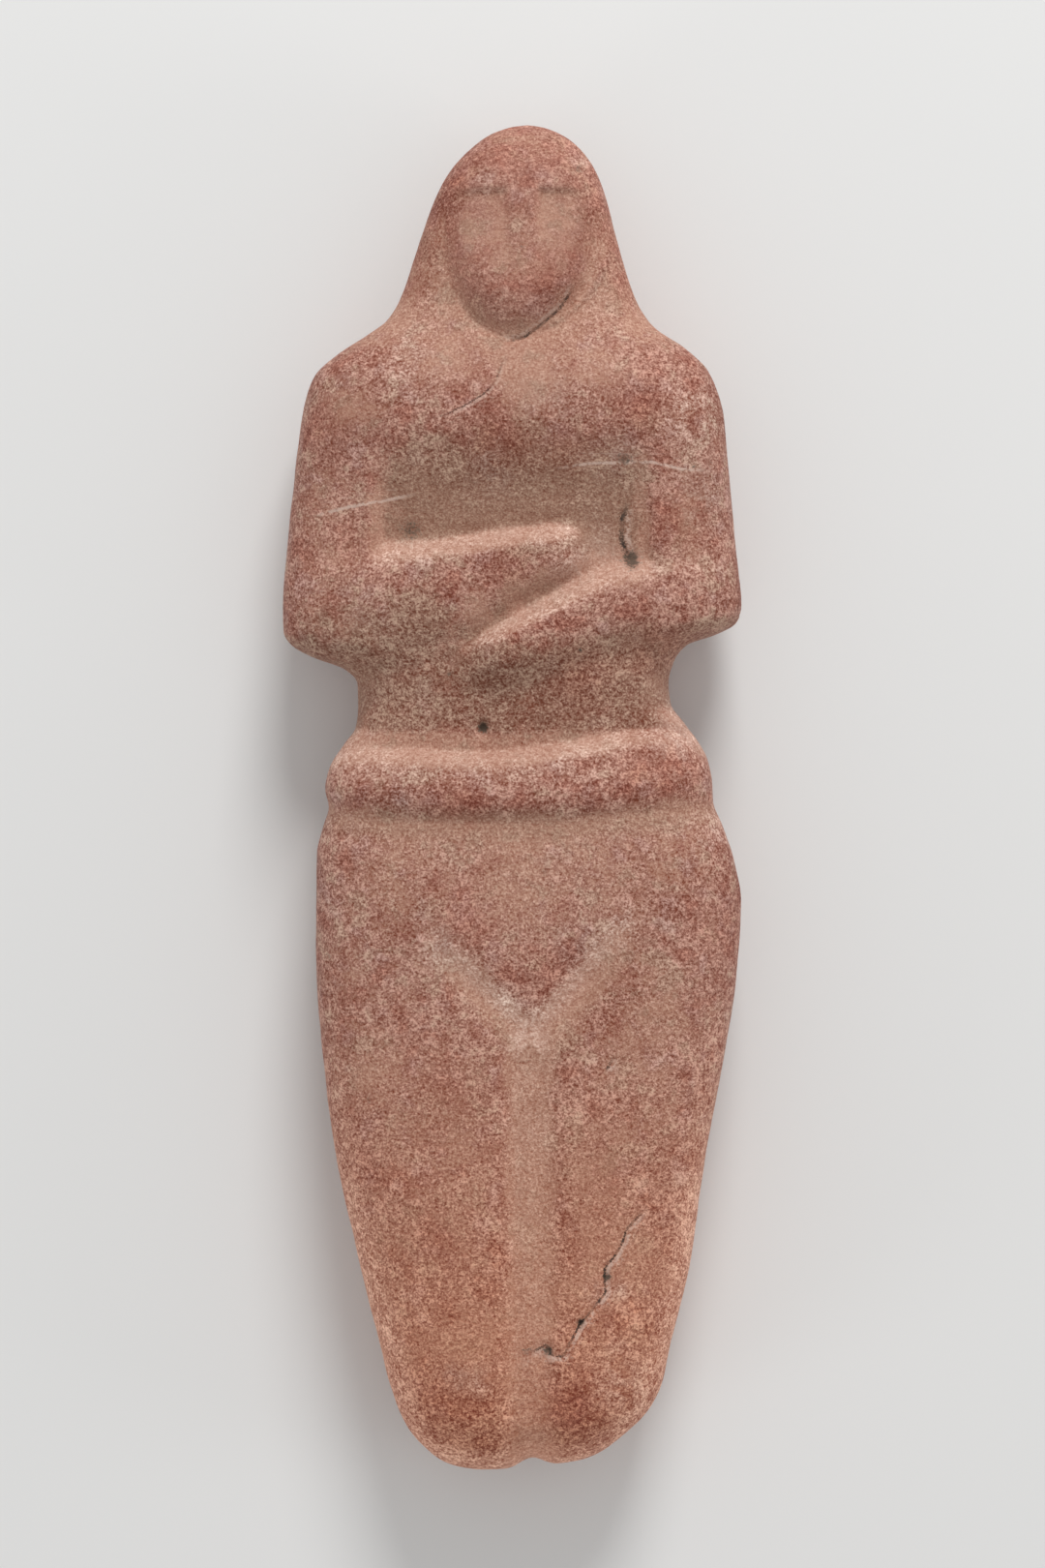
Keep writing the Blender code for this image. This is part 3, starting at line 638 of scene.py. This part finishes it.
# Painted shade just under the belt's lower foot.
belt_shadow = np.exp(-(((drawn_y - belt_foot + BELT_SHADE_DROP) / BELT_SHADE_HALF) ** 2))
underside_shade = np.maximum(underside_shade, belt_shadow)
sideways = np.hypot(facing[:, :, 0], facing[:, :, 1])
# Painted side light: the sideways faces of the lower legs are painted paler and more orange.
lit_rims = ease((sideways - RIM_SLOPE) / RIM_SOFT) * ease((RIM_TOP - drawn_y) / RIM_TOP_SOFT)

# Hollows kept their ground skin. The waist is the only one that hands wore open.

BROAD_PASSES = 70
RECESS_DEPTH = 0.55
LEDGE_HOLLOW = 0.7
EYES_HOLLOW = 0.6
BACK_HOLLOW = 0.45
WAIST_TOP = 140.0
WAIST_TOP_SOFT = 6.0
WAIST_FOOT = 120.0
WAIST_FOOT_SOFT = 3.0
WAIST_WEAR = 0.65


def recess(grid, passes, depth):
    """0 on what stands out, 1 in what lies deep, seen against the evened surface."""
    sunk = ((smoothed(grid, passes) - grid) * facing).sum(axis=2)
    return np.clip(0.5 + 0.5 * sunk / depth, 0.0, 1.0)


eyes = eye_fields(drawn_x, drawn_y)
# Ledges that face the head end also count partly as hollows, so their painted highlight is tan.
hollow = np.maximum(recess(worn, BROAD_PASSES, RECESS_DEPTH), LEDGE_HOLLOW * lit_ledges)
hollow = np.maximum(hollow, EYES_HOLLOW * eyes)
waist = ease((WAIST_TOP - drawn_y) / WAIST_TOP_SOFT) * ease((drawn_y - WAIST_FOOT) / WAIST_FOOT_SOFT)
hollow = hollow * (1 - WAIST_WEAR * waist)
hollow = np.maximum(hollow, patches(SMOOTH_PATCHES))
in_cuts = np.maximum(hollow, front_cuts(drawn_x, drawn_y) / LEG_DEPTH)
hollow = np.where(front_side, in_cuts, BACK_HOLLOW)

# The grooves: pale at the bottom of the leg line, painted light on the V's outer lips, and painted shade in
# brown on its inner walls.

GROOVE_PALE = 0.3
LIP_OUTSIDE = 1.6
LIP_HALF = 1.6
LIP_LIGHT = 1.6
LIP_HOLLOW = 0.8
WALL_INSIDE = 2.2
WALL_HALF = 1.6
WALL_SHADE = 0.6

pale_groove_and_lit_lips = GROOVE_PALE * groove(drawn_x, drawn_y, LEG_LINE, LEG_BOTTOM, LEG_HALF, LEG_FADE)
lit_lips = np.zeros(np.shape(drawn_x))
for line, outer in ((V_LEFT, -1.0), (V_RIGHT, 1.0)):
    v_distance, v_along = off_line(drawn_x, drawn_y, line)
    begun = ease(v_along / V_FADE)
    lit_lip = np.exp(-(((outer * v_distance - LIP_OUTSIDE) / LIP_HALF) ** 2)) * begun
    inner_wall_shade = np.exp(-(((outer * v_distance + WALL_INSIDE) / WALL_HALF) ** 2)) * begun
    lit_lips = np.maximum(lit_lips, on_front(lit_lip))
    underside_shade = np.maximum(underside_shade, WALL_SHADE * inner_wall_shade)
pale_groove_and_lit_lips = np.maximum(pale_groove_and_lit_lips, LIP_LIGHT * lit_lips)
hollow = np.maximum(hollow, LIP_HOLLOW * lit_lips)

# The chest panel and the waist are browner, the crown's rim redder, and the legs warmer downwards and, as
# painted light, brighter towards the feet.

CHEST_TOP = 177.0
CHEST_FLOOR = 160.0
CHEST_FOOT = 148.0
CHEST_LEFT = -25.5
CHEST_RIGHT = 21.0
CHEST_SOFT = 6.0
WAIST_BROWN = 0.75
LEDGE_CLEAN = 0.7
CROWN_RED = 0.45
CROWN_RED_SLOPE = 0.35
CROWN_RED_SOFT = 0.30
CROWN_RED_FROM = 186.0
CROWN_RED_RISE = 10.0
FOOT_WARM_TOP = 90.0

chest_panel = ease((CHEST_TOP - drawn_y) / (CHEST_TOP - CHEST_FLOOR))
chest_panel = chest_panel * ease((drawn_y - CHEST_FOOT) / CHEST_SOFT)
chest_panel = chest_panel * ease((drawn_x - CHEST_LEFT) / CHEST_SOFT)
chest_panel = chest_panel * ease((CHEST_RIGHT - drawn_x) / CHEST_SOFT)
# Ledges that face the head end lose some of the brown, as part of their painted highlight.
browned = np.maximum(chest_panel, WAIST_BROWN * waist) * (1 - LEDGE_CLEAN * lit_ledges)
browned = np.maximum(browned, patches(BROWN_PATCHES))
crown_rim = CROWN_RED * ease((sideways - CROWN_RED_SLOPE) / CROWN_RED_SOFT)
crown_rim = crown_rim * ease((drawn_y - CROWN_RED_FROM) / CROWN_RED_RISE)
reddened = np.maximum(patches(RED_PATCHES), crown_rim)
warmed_and_lit = ease((FOOT_WARM_TOP - drawn_y) / FOOT_WARM_TOP)

# The speckle is calmer on the face, on ledges and lips, and where the ground skin is whole.

FACE_CALM = 0.30
EYES_CALM = 0.25
SMOOTH_CALM = 0.30
LEDGE_CALM = 0.20

calm = np.maximum(SMOOTH_CALM * patches(SMOOTH_PATCHES), LEDGE_CALM * np.maximum(lit_ledges, lit_lips))
calm = np.maximum(calm, FACE_CALM * ease(face(drawn_x, drawn_y)) + EYES_CALM * eyes)

STONE_VALUES = {
    "hollow": hollow,
    "lit_ledges": on_front(np.maximum(lit_ledges, pale_groove_and_lit_lips)),
    "calm": on_front(calm),
    "underside_shade": on_front(underside_shade),
    "lit_rims": lit_rims,
    "reddened": on_front(reddened),
    "warmed_and_lit": warmed_and_lit,
    "darkened": on_front(patches(DARK_PATCHES)),
    "browned": on_front(browned),
    "soiled": on_front(patches(SOIL_PATCHES)),
    "greyed": on_front(patches(GREY_PATCHES)),
    "paled": on_front(patches(PALE_PATCHES)),
    "crack_offset": crack_offset,
    "crack_presence": on_front(crack_presence),
    "vein_offset": vein_offset,
    "vein_presence": on_front(vein_presence),
}


def skin(grid):
    """A closed mesh over the rings, with a fan at the foot tip and at the crown."""
    rings, around = grid.shape[:2]
    first = np.arange(around)
    second = (first + 1) % around
    faces = []
    for r in range(rings - 1):
        a, b = r * around, (r + 1) * around
        faces.extend(np.column_stack([a + first, a + second, b + second, b + first]).tolist())
    foot_tip, crown_tip = rings * around, rings * around + 1
    last = (rings - 1) * around
    faces.extend([foot_tip, int(j), int(i)] for i, j in zip(first, second))
    faces.extend([crown_tip, int(last + i), int(last + j)] for i, j in zip(first, second))
    points = np.vstack([grid.reshape(-1, 3), grid[0].mean(axis=0), grid[-1].mean(axis=0)])
    mesh = bpy.data.meshes.new("stone_idol")
    mesh.from_pydata(points.tolist(), [], faces)
    return mesh


stone_mesh = skin(fitted)
for name, values in STONE_VALUES.items():
    ends = [values[0].mean(), values[-1].mean()]
    layer = stone_mesh.attributes.new(name, "FLOAT", "POINT")
    layer.data.foreach_set("value", np.concatenate([values.ravel(), ends]).astype(np.float32))
stone_mesh.shade_smooth()
stone_idol = bpy.data.objects.new("stone_idol", stone_mesh)
bpy.context.scene.collection.objects.link(stone_idol)
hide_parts("idol")
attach(stone_idol, "root")


# The stone itself: fine red sandstone, its worn high places speckled red-brown and pink where the
# grain is open, its recesses a smoother tan, with grey soil and pale veins. Everything in it is a
# noise through the stone at one of six sizes, or one of the values that the mesh carries.

GRAIN_PER_MM = 3.4
SPECK_PER_MM = 2.0
CLUMP_PER_MM = 0.95
CLUSTER_PER_MM = 0.33
MOTTLE_PER_MM = 0.22
PATCH_PER_MM = 0.085

stone = bpy.data.materials.new("red_stone")
stone.use_nodes = True
nodes, links = stone.node_tree.nodes, stone.node_tree.links
shader = nodes["Principled BSDF"]


def put(kind, **settings):
    """A new node with some of its settings made."""
    node = nodes.new(kind)
    for name, value in settings.items():
        setattr(node, name, value)
    return node


def feed(node, socket, source):
    """A number, a colour or another node's output into a socket."""
    if isinstance(source, bpy.types.NodeSocket):
        links.new(source, node.inputs[socket])
    else:
        node.inputs[socket].default_value = source


def sums(operation, a, b=0.0, clamp=False):
    """The result of a Math node."""
    node = put("ShaderNodeMath", operation=operation, use_clamp=clamp)
    feed(node, 0, a)
    feed(node, 1, b)
    return node.outputs[0]


def plus(a, b):
    """Two values added."""
    return sums("ADD", a, b)


def less(a, b):
    """The first value without the second."""
    return sums("SUBTRACT", a, b)


def times(a, b):
    """Two values multiplied."""
    return sums("MULTIPLY", a, b)


def swing(pattern, amount):
    """A noise's swing to both sides of its middle, made stronger or weaker."""
    return times(less(pattern, 0.5), amount)


def value_of(name):
    """One of the values that the mesh carries."""
    return put("ShaderNodeAttribute", attribute_name=name).outputs["Fac"]


def step_between(value, start, end):
    """0 before start, 1 after end, and soft between."""
    node = put("ShaderNodeMapRange", interpolation_type="SMOOTHSTEP")
    feed(node, "Value", value)
    feed(node, "From Min", start)
    feed(node, "From Max", end)
    return node.outputs["Result"]


def blend(share, under, over):
    """A colour mix."""
    node = put("ShaderNodeMix", data_type="RGBA")
    feed(node, "Factor", share)
    for place, colour in ((6, under), (7, over)):
        feed(node, place, colour if isinstance(colour, bpy.types.NodeSocket) else (*colour, 1.0))
    return node.outputs[2]


def texture(per_mm, detail, roughness, shift=0.0):
    """A noise through the stone, so many times a millimetre."""
    move = put("ShaderNodeMapping")
    feed(move, "Vector", in_stone)
    feed(move, "Location", (shift, shift, shift))
    feed(move, "Scale", (per_mm / MM, per_mm / MM, per_mm / MM))
    node = put("ShaderNodeTexNoise")
    feed(node, "Vector", move.outputs["Vector"])
    feed(node, "Scale", 1.0)
    feed(node, "Detail", detail)
    feed(node, "Roughness", roughness)
    return node.outputs["Fac"]


in_stone = put("ShaderNodeTexCoord").outputs["Object"]
grain = texture(GRAIN_PER_MM, detail=2.0, roughness=0.6)
speck = texture(SPECK_PER_MM, detail=2.0, roughness=0.6, shift=37.0)
clump = texture(CLUMP_PER_MM, detail=2.0, roughness=0.6, shift=23.0)
cluster = texture(CLUSTER_PER_MM, detail=3.0, roughness=0.6, shift=11.0)
mottle = texture(MOTTLE_PER_MM, detail=3.0, roughness=0.6, shift=53.0)
tint = texture(MOTTLE_PER_MM, detail=2.0, roughness=0.5, shift=67.0)
patch = texture(PATCH_PER_MM, detail=3.0, roughness=0.55, shift=5.0)

# High places are worn to the red stone. Hollows keep their tan ground skin, with a ragged edge.

RECESS_TAN = (0.440, 0.233, 0.165)
WORN_RED = (0.345, 0.156, 0.112)
WEAR_CLUSTER = 1.3
WEAR_PATCH = 1.4
WEAR_CLUMP = 0.8
WEAR_STEP = (0.15, 0.85)

broad = plus(swing(cluster, WEAR_CLUSTER), swing(patch, WEAR_PATCH))
uneven = plus(broad, swing(clump, WEAR_CLUMP))
high = step_between(less(plus(1.0, uneven), value_of("hollow")), *WEAR_STEP)
colour = blend(high, RECESS_TAN, WORN_RED)

# The red drifts through the stone, to a deeper red, to olive and to lilac.

RED_CLUMP = (0.320, 0.115, 0.076)
OLIVE_CLUMP = (0.320, 0.178, 0.120)
LILAC_CLUMP = (0.345, 0.172, 0.140)
HUE_CLUSTER = 0.6
RED_STEP = (0.02, 0.16)
RED_MOST = 0.75
OLIVE_STEP = (-0.03, -0.17)
OLIVE_MOST = 0.55
LILAC_STEP = (0.54, 0.68)
LILAC_MOST = 0.5

hue_drift = less(less(mottle, 0.5), swing(cluster, HUE_CLUSTER))
colour = blend(times(step_between(hue_drift, *RED_STEP), times(high, RED_MOST)), colour, RED_CLUMP)
colour = blend(times(step_between(hue_drift, *OLIVE_STEP), OLIVE_MOST), colour, OLIVE_CLUMP)
colour = blend(times(step_between(tint, *LILAC_STEP), times(high, LILAC_MOST)), colour, LILAC_CLUMP)

# A brown film lies on the chest and the waist. The same brown is painted shade on the undersides, in a thin
# band under the brow, under the belt and on the V's inner walls. The legs are a warmer red, and brighter
# towards the feet as painted light.

BROWN_FILM_AND_SHADE = (0.280, 0.150, 0.099)
LEG_WARM_LIGHT = (0.500, 0.180, 0.090)
FILM_CLUSTER = 1.4
FILM_STEP = (0.15, 0.85)
FILM_MOST = 0.75
UNDER_MOST = 0.45
WARM_MOST = 0.58

brown_film_and_shade = step_between(plus(value_of("browned"), swing(cluster, FILM_CLUSTER)), *FILM_STEP)
colour = blend(times(brown_film_and_shade, FILM_MOST), colour, BROWN_FILM_AND_SHADE)
colour = blend(times(value_of("underside_shade"), UNDER_MOST), colour, BROWN_FILM_AND_SHADE)
colour = blend(times(value_of("warmed_and_lit"), WARM_MOST), colour, LEG_WARM_LIGHT)

# Painted highlight makes the ledges pale, and painted side light makes the rims of the legs paler and more
# orange.

LEDGE_LIGHT_PALE = (0.600, 0.370, 0.285)
RIM_LIGHT_ORANGE = (0.660, 0.330, 0.225)
LEDGE_CLUSTER = 0.6
LEDGE_BREAKS = (0.50, 0.85)
LEDGE_MOST = 0.62
RIM_MOST = 0.60

ledge_breaks = step_between(plus(clump, times(cluster, LEDGE_CLUSTER)), *LEDGE_BREAKS)
lit_and_pale = times(value_of("lit_ledges"), ledge_breaks)
colour = blend(times(lit_and_pale, LEDGE_MOST), colour, LEDGE_LIGHT_PALE)
colour = blend(times(value_of("lit_rims"), RIM_MOST), colour, RIM_LIGHT_ORANGE)

# Stains of red ochre, grey film and pale crust, each broken up by the stone's own clusters. At the hand's
# end the pale is painted light.

RED_OCHRE = (0.300, 0.078, 0.042)
OCHRE_BREAKS = (0.30, 0.62)
OCHRE_MOST = 0.75
GREY_FILM = (0.300, 0.215, 0.190)
GREY_BREAKS = (0.62, 0.35)
GREY_MOST = 0.6
PALE_CRUST_AND_LIGHT = (0.540, 0.350, 0.275)
CRUST_BREAKS = (0.32, 0.56)
CRUST_MOST = 0.6


def stained(under, name, breaks, most, stain):
    """A colour with one kind of stain over it."""
    share = times(value_of(name), step_between(cluster, *breaks))
    return blend(times(share, most), under, stain)


colour = stained(colour, "reddened", OCHRE_BREAKS, OCHRE_MOST, RED_OCHRE)
colour = stained(colour, "greyed", GREY_BREAKS, GREY_MOST, GREY_FILM)
colour = stained(colour, "paled", CRUST_BREAKS, CRUST_MOST, PALE_CRUST_AND_LIGHT)

# The speckle: dark and light grains over all of it, strongest on the worn high places.

DARK_GRAIN_SHARE = (0.46, 0.18, 0.07)
LIGHT_GRAIN_SHARE = (1.86, 2.32, 2.50)
GRAIN_SPAN = 0.170
GRAIN_TONE = 0.62
SPECK_TONE = 0.66
CLUMP_TONE = 0.42
CLUSTER_TONE = 0.30
PATCH_TONE = 0.16
MOTTLE_TONE = 0.14
DARK_TONE = 0.07
CLUMPS_IN_HOLLOWS = 0.35
GRAIN_IN_HOLLOWS = 0.52

fine = plus(swing(grain, GRAIN_TONE), swing(speck, SPECK_TONE))
clumped = plus(swing(clump, CLUMP_TONE), swing(cluster, CLUSTER_TONE))
clumped = plus(clumped, swing(patch, PATCH_TONE))
clumped = times(clumped, plus(CLUMPS_IN_HOLLOWS, times(high, 1 - CLUMPS_IN_HOLLOWS)))
shaded = plus(times(value_of("darkened"), DARK_TONE), swing(mottle, MOTTLE_TONE))
open_grain = plus(GRAIN_IN_HOLLOWS, times(high, 1 - GRAIN_IN_HOLLOWS))
tone = sums("DIVIDE", less(plus(fine, clumped), shaded), GRAIN_SPAN)
tone = times(tone, times(open_grain, less(1.0, value_of("calm"))))
grain_share = blend(sums("MULTIPLY", tone, -1.0, clamp=True), (1.0, 1.0, 1.0), DARK_GRAIN_SHARE)
grain_share = blend(sums("MULTIPLY", tone, 1.0, clamp=True), grain_share, LIGHT_GRAIN_SHARE)
speckle = put("ShaderNodeMix", data_type="RGBA", blend_type="MULTIPLY")
feed(speckle, "Factor", 1.0)
feed(speckle, 6, colour)
feed(speckle, 7, grain_share)
colour = speckle.outputs[2]

# Over the speckle lie the pale veins, the cracks with a chipped pale lip on one side, and the soil.

VEIN_PALE = (0.640, 0.470, 0.390)
RAGGED = 2.2
VEIN_EDGE = (1.1, 0.3)
VEIN_BREAKS = (0.35, 0.50)
VEIN_MOST = 0.8
LIP_NEAR = (-0.6, -1.4)
LIP_FAR = (-4.5, -2.5)
LIP_SPECK = 0.8
LIP_BREAKS = (0.70, 0.96)
LIP_MOST = 0.65
SOIL = (0.066, 0.047, 0.031)
SOIL_SPECK = 1.6
SOIL_STEP = (0.20, 0.80)
SOIL_MOST = 0.88
CRACK_SHADE = (0.040, 0.027, 0.020)
CRACK_EDGE = (1.0, 0.2)
CRACK_CLUMPS = (0.40, 0.56)
CRACK_CLUSTERS = (0.34, 0.50)
CRACK_LEAST = 0.25

ragged = swing(grain, RAGGED)
vein_edge = plus(sums("ABSOLUTE", value_of("vein_offset")), ragged)
vein = times(step_between(vein_edge, *VEIN_EDGE), value_of("vein_presence"))
colour = blend(times(times(vein, step_between(clump, *VEIN_BREAKS)), VEIN_MOST), colour, VEIN_PALE)

crack_side = value_of("crack_offset")
chipped = times(step_between(crack_side, *LIP_NEAR), step_between(crack_side, *LIP_FAR))
chipped = times(chipped, step_between(plus(cluster, times(speck, LIP_SPECK)), *LIP_BREAKS))
colour = blend(times(times(chipped, value_of("crack_presence")), LIP_MOST), colour, VEIN_PALE)

soil_share = step_between(plus(value_of("soiled"), swing(speck, SOIL_SPECK)), *SOIL_STEP)
colour = blend(times(soil_share, SOIL_MOST), colour, SOIL)

crack_edge = plus(sums("ABSOLUTE", crack_side), ragged)
broken = times(step_between(clump, *CRACK_CLUMPS), step_between(cluster, *CRACK_CLUSTERS))
broken = plus(CRACK_LEAST, times(broken, 1 - CRACK_LEAST))
crack = times(step_between(crack_edge, *CRACK_EDGE), times(value_of("crack_presence"), broken))
colour = blend(crack, colour, CRACK_SHADE)
links.new(colour, shader.inputs["Base Color"])

# The surface is dull, a little less so where it is worn, and each grain stands out by itself.

DULL = 0.92
WORN_SHINE = 0.14
GRAIN_RELIEF = 0.08
SPECK_RELIEF = 0.11
CLUMP_RELIEF = 0.10
CLUSTER_RELIEF = 0.10
CRACK_RELIEF = 0.25

feed(shader, "Roughness", less(DULL, times(high, WORN_SHINE)))
relief = plus(times(grain, GRAIN_RELIEF), times(clump, CLUMP_RELIEF))
relief = plus(relief, times(speck, SPECK_RELIEF))
relief = plus(relief, times(cluster, CLUSTER_RELIEF))
relief = less(relief, times(crack, CRACK_RELIEF))
bump = put("ShaderNodeBump")
feed(bump, "Distance", MM)
feed(bump, "Height", relief)
feed(shader, "Normal", bump.outputs["Normal"])
stone_mesh.materials.append(stone)


# The setting: a plain pale floor under soft studio light that comes from above the idol's head,
# a little from its right, with an even fill. The camera looks straight down on it.

FLOOR_HALF = 6.0
FLOOR_DROP = 0.0002
FLOOR_PALE = (0.80, 0.80, 0.79, 1.0)
FLOOR_SHADE = (0.74, 0.74, 0.735, 1.0)
FLOOR_MOTTLE = 3.0
FLOOR_DULL = 0.9
KEY_DIRECTION = Vector((0.13, 0.81, 0.55))
KEY_DISTANCE = 1.5
KEY_SIZE = 0.57
KEY_WATTS = 15.4
SIDE_LEFT = Vector((-0.74, -0.48, 0.22))
SIDE_RIGHT = Vector((0.80, -0.16, 0.22))
SIDE_SIZE = 0.36
SIDE_WATTS = 1.0
FILL_WHITE = (1.0, 1.0, 1.0, 1.0)
FILL_STRENGTH = 0.52
CAMERA_PLACE = (0.00173, 0.00236, 0.7325)
CAMERA_LENS = 100.0
CAMERA_SENSOR = 36.0

floor_mesh = bpy.data.meshes.new("floor")
corners = [(-1, -1), (1, -1), (1, 1), (-1, 1)]
floor_points = [(x * FLOOR_HALF, y * FLOOR_HALF, -FLOOR_DROP) for x, y in corners]
floor_mesh.from_pydata(floor_points, [], [(0, 1, 2, 3)])
floor = bpy.data.objects.new("floor", floor_mesh)
bpy.context.scene.collection.objects.link(floor)
floor_paint = bpy.data.materials.new("pale_board")
floor_paint.use_nodes = True
floor_nodes, floor_links = floor_paint.node_tree.nodes, floor_paint.node_tree.links
board_noise = floor_nodes.new("ShaderNodeTexNoise")
board_noise.inputs["Scale"].default_value = FLOOR_MOTTLE
board_mix = floor_nodes.new("ShaderNodeMix")
board_mix.data_type = "RGBA"
board_mix.inputs[6].default_value = FLOOR_PALE
board_mix.inputs[7].default_value = FLOOR_SHADE
floor_links.new(board_noise.outputs["Fac"], board_mix.inputs["Factor"])
floor_links.new(board_mix.outputs[2], floor_nodes["Principled BSDF"].inputs["Base Color"])
floor_nodes["Principled BSDF"].inputs["Roughness"].default_value = FLOOR_DULL
floor_mesh.materials.append(floor_paint)


def studio_light(name, place, size, watts):
    """A round soft light that faces the idol from that place."""
    data = bpy.data.lights.new(name, "AREA")
    data.shape = "DISK"
    data.size = size
    data.energy = watts
    light = bpy.data.objects.new(name, data)
    light.location = place
    light.rotation_euler = place.to_track_quat("Z", "Y").to_euler()
    bpy.context.scene.collection.objects.link(light)


studio_light("key", KEY_DIRECTION.normalized() * KEY_DISTANCE, KEY_SIZE, KEY_WATTS)
studio_light("left_side", SIDE_LEFT, SIDE_SIZE, SIDE_WATTS)
studio_light("right_side", SIDE_RIGHT, SIDE_SIZE, SIDE_WATTS)

world = bpy.data.worlds.new("studio_fill")
world.use_nodes = True
fill = world.node_tree.nodes["Background"]
fill.inputs["Color"].default_value = FILL_WHITE
fill.inputs["Strength"].default_value = FILL_STRENGTH
bpy.context.scene.world = world

camera_data = bpy.data.cameras.new("camera")
camera_data.lens = CAMERA_LENS
camera_data.sensor_width = CAMERA_SENSOR
camera = bpy.data.objects.new("camera", camera_data)
camera.location = CAMERA_PLACE
bpy.context.scene.collection.objects.link(camera)
bpy.context.scene.camera = camera
bpy.context.scene.view_settings.view_transform = "Standard"
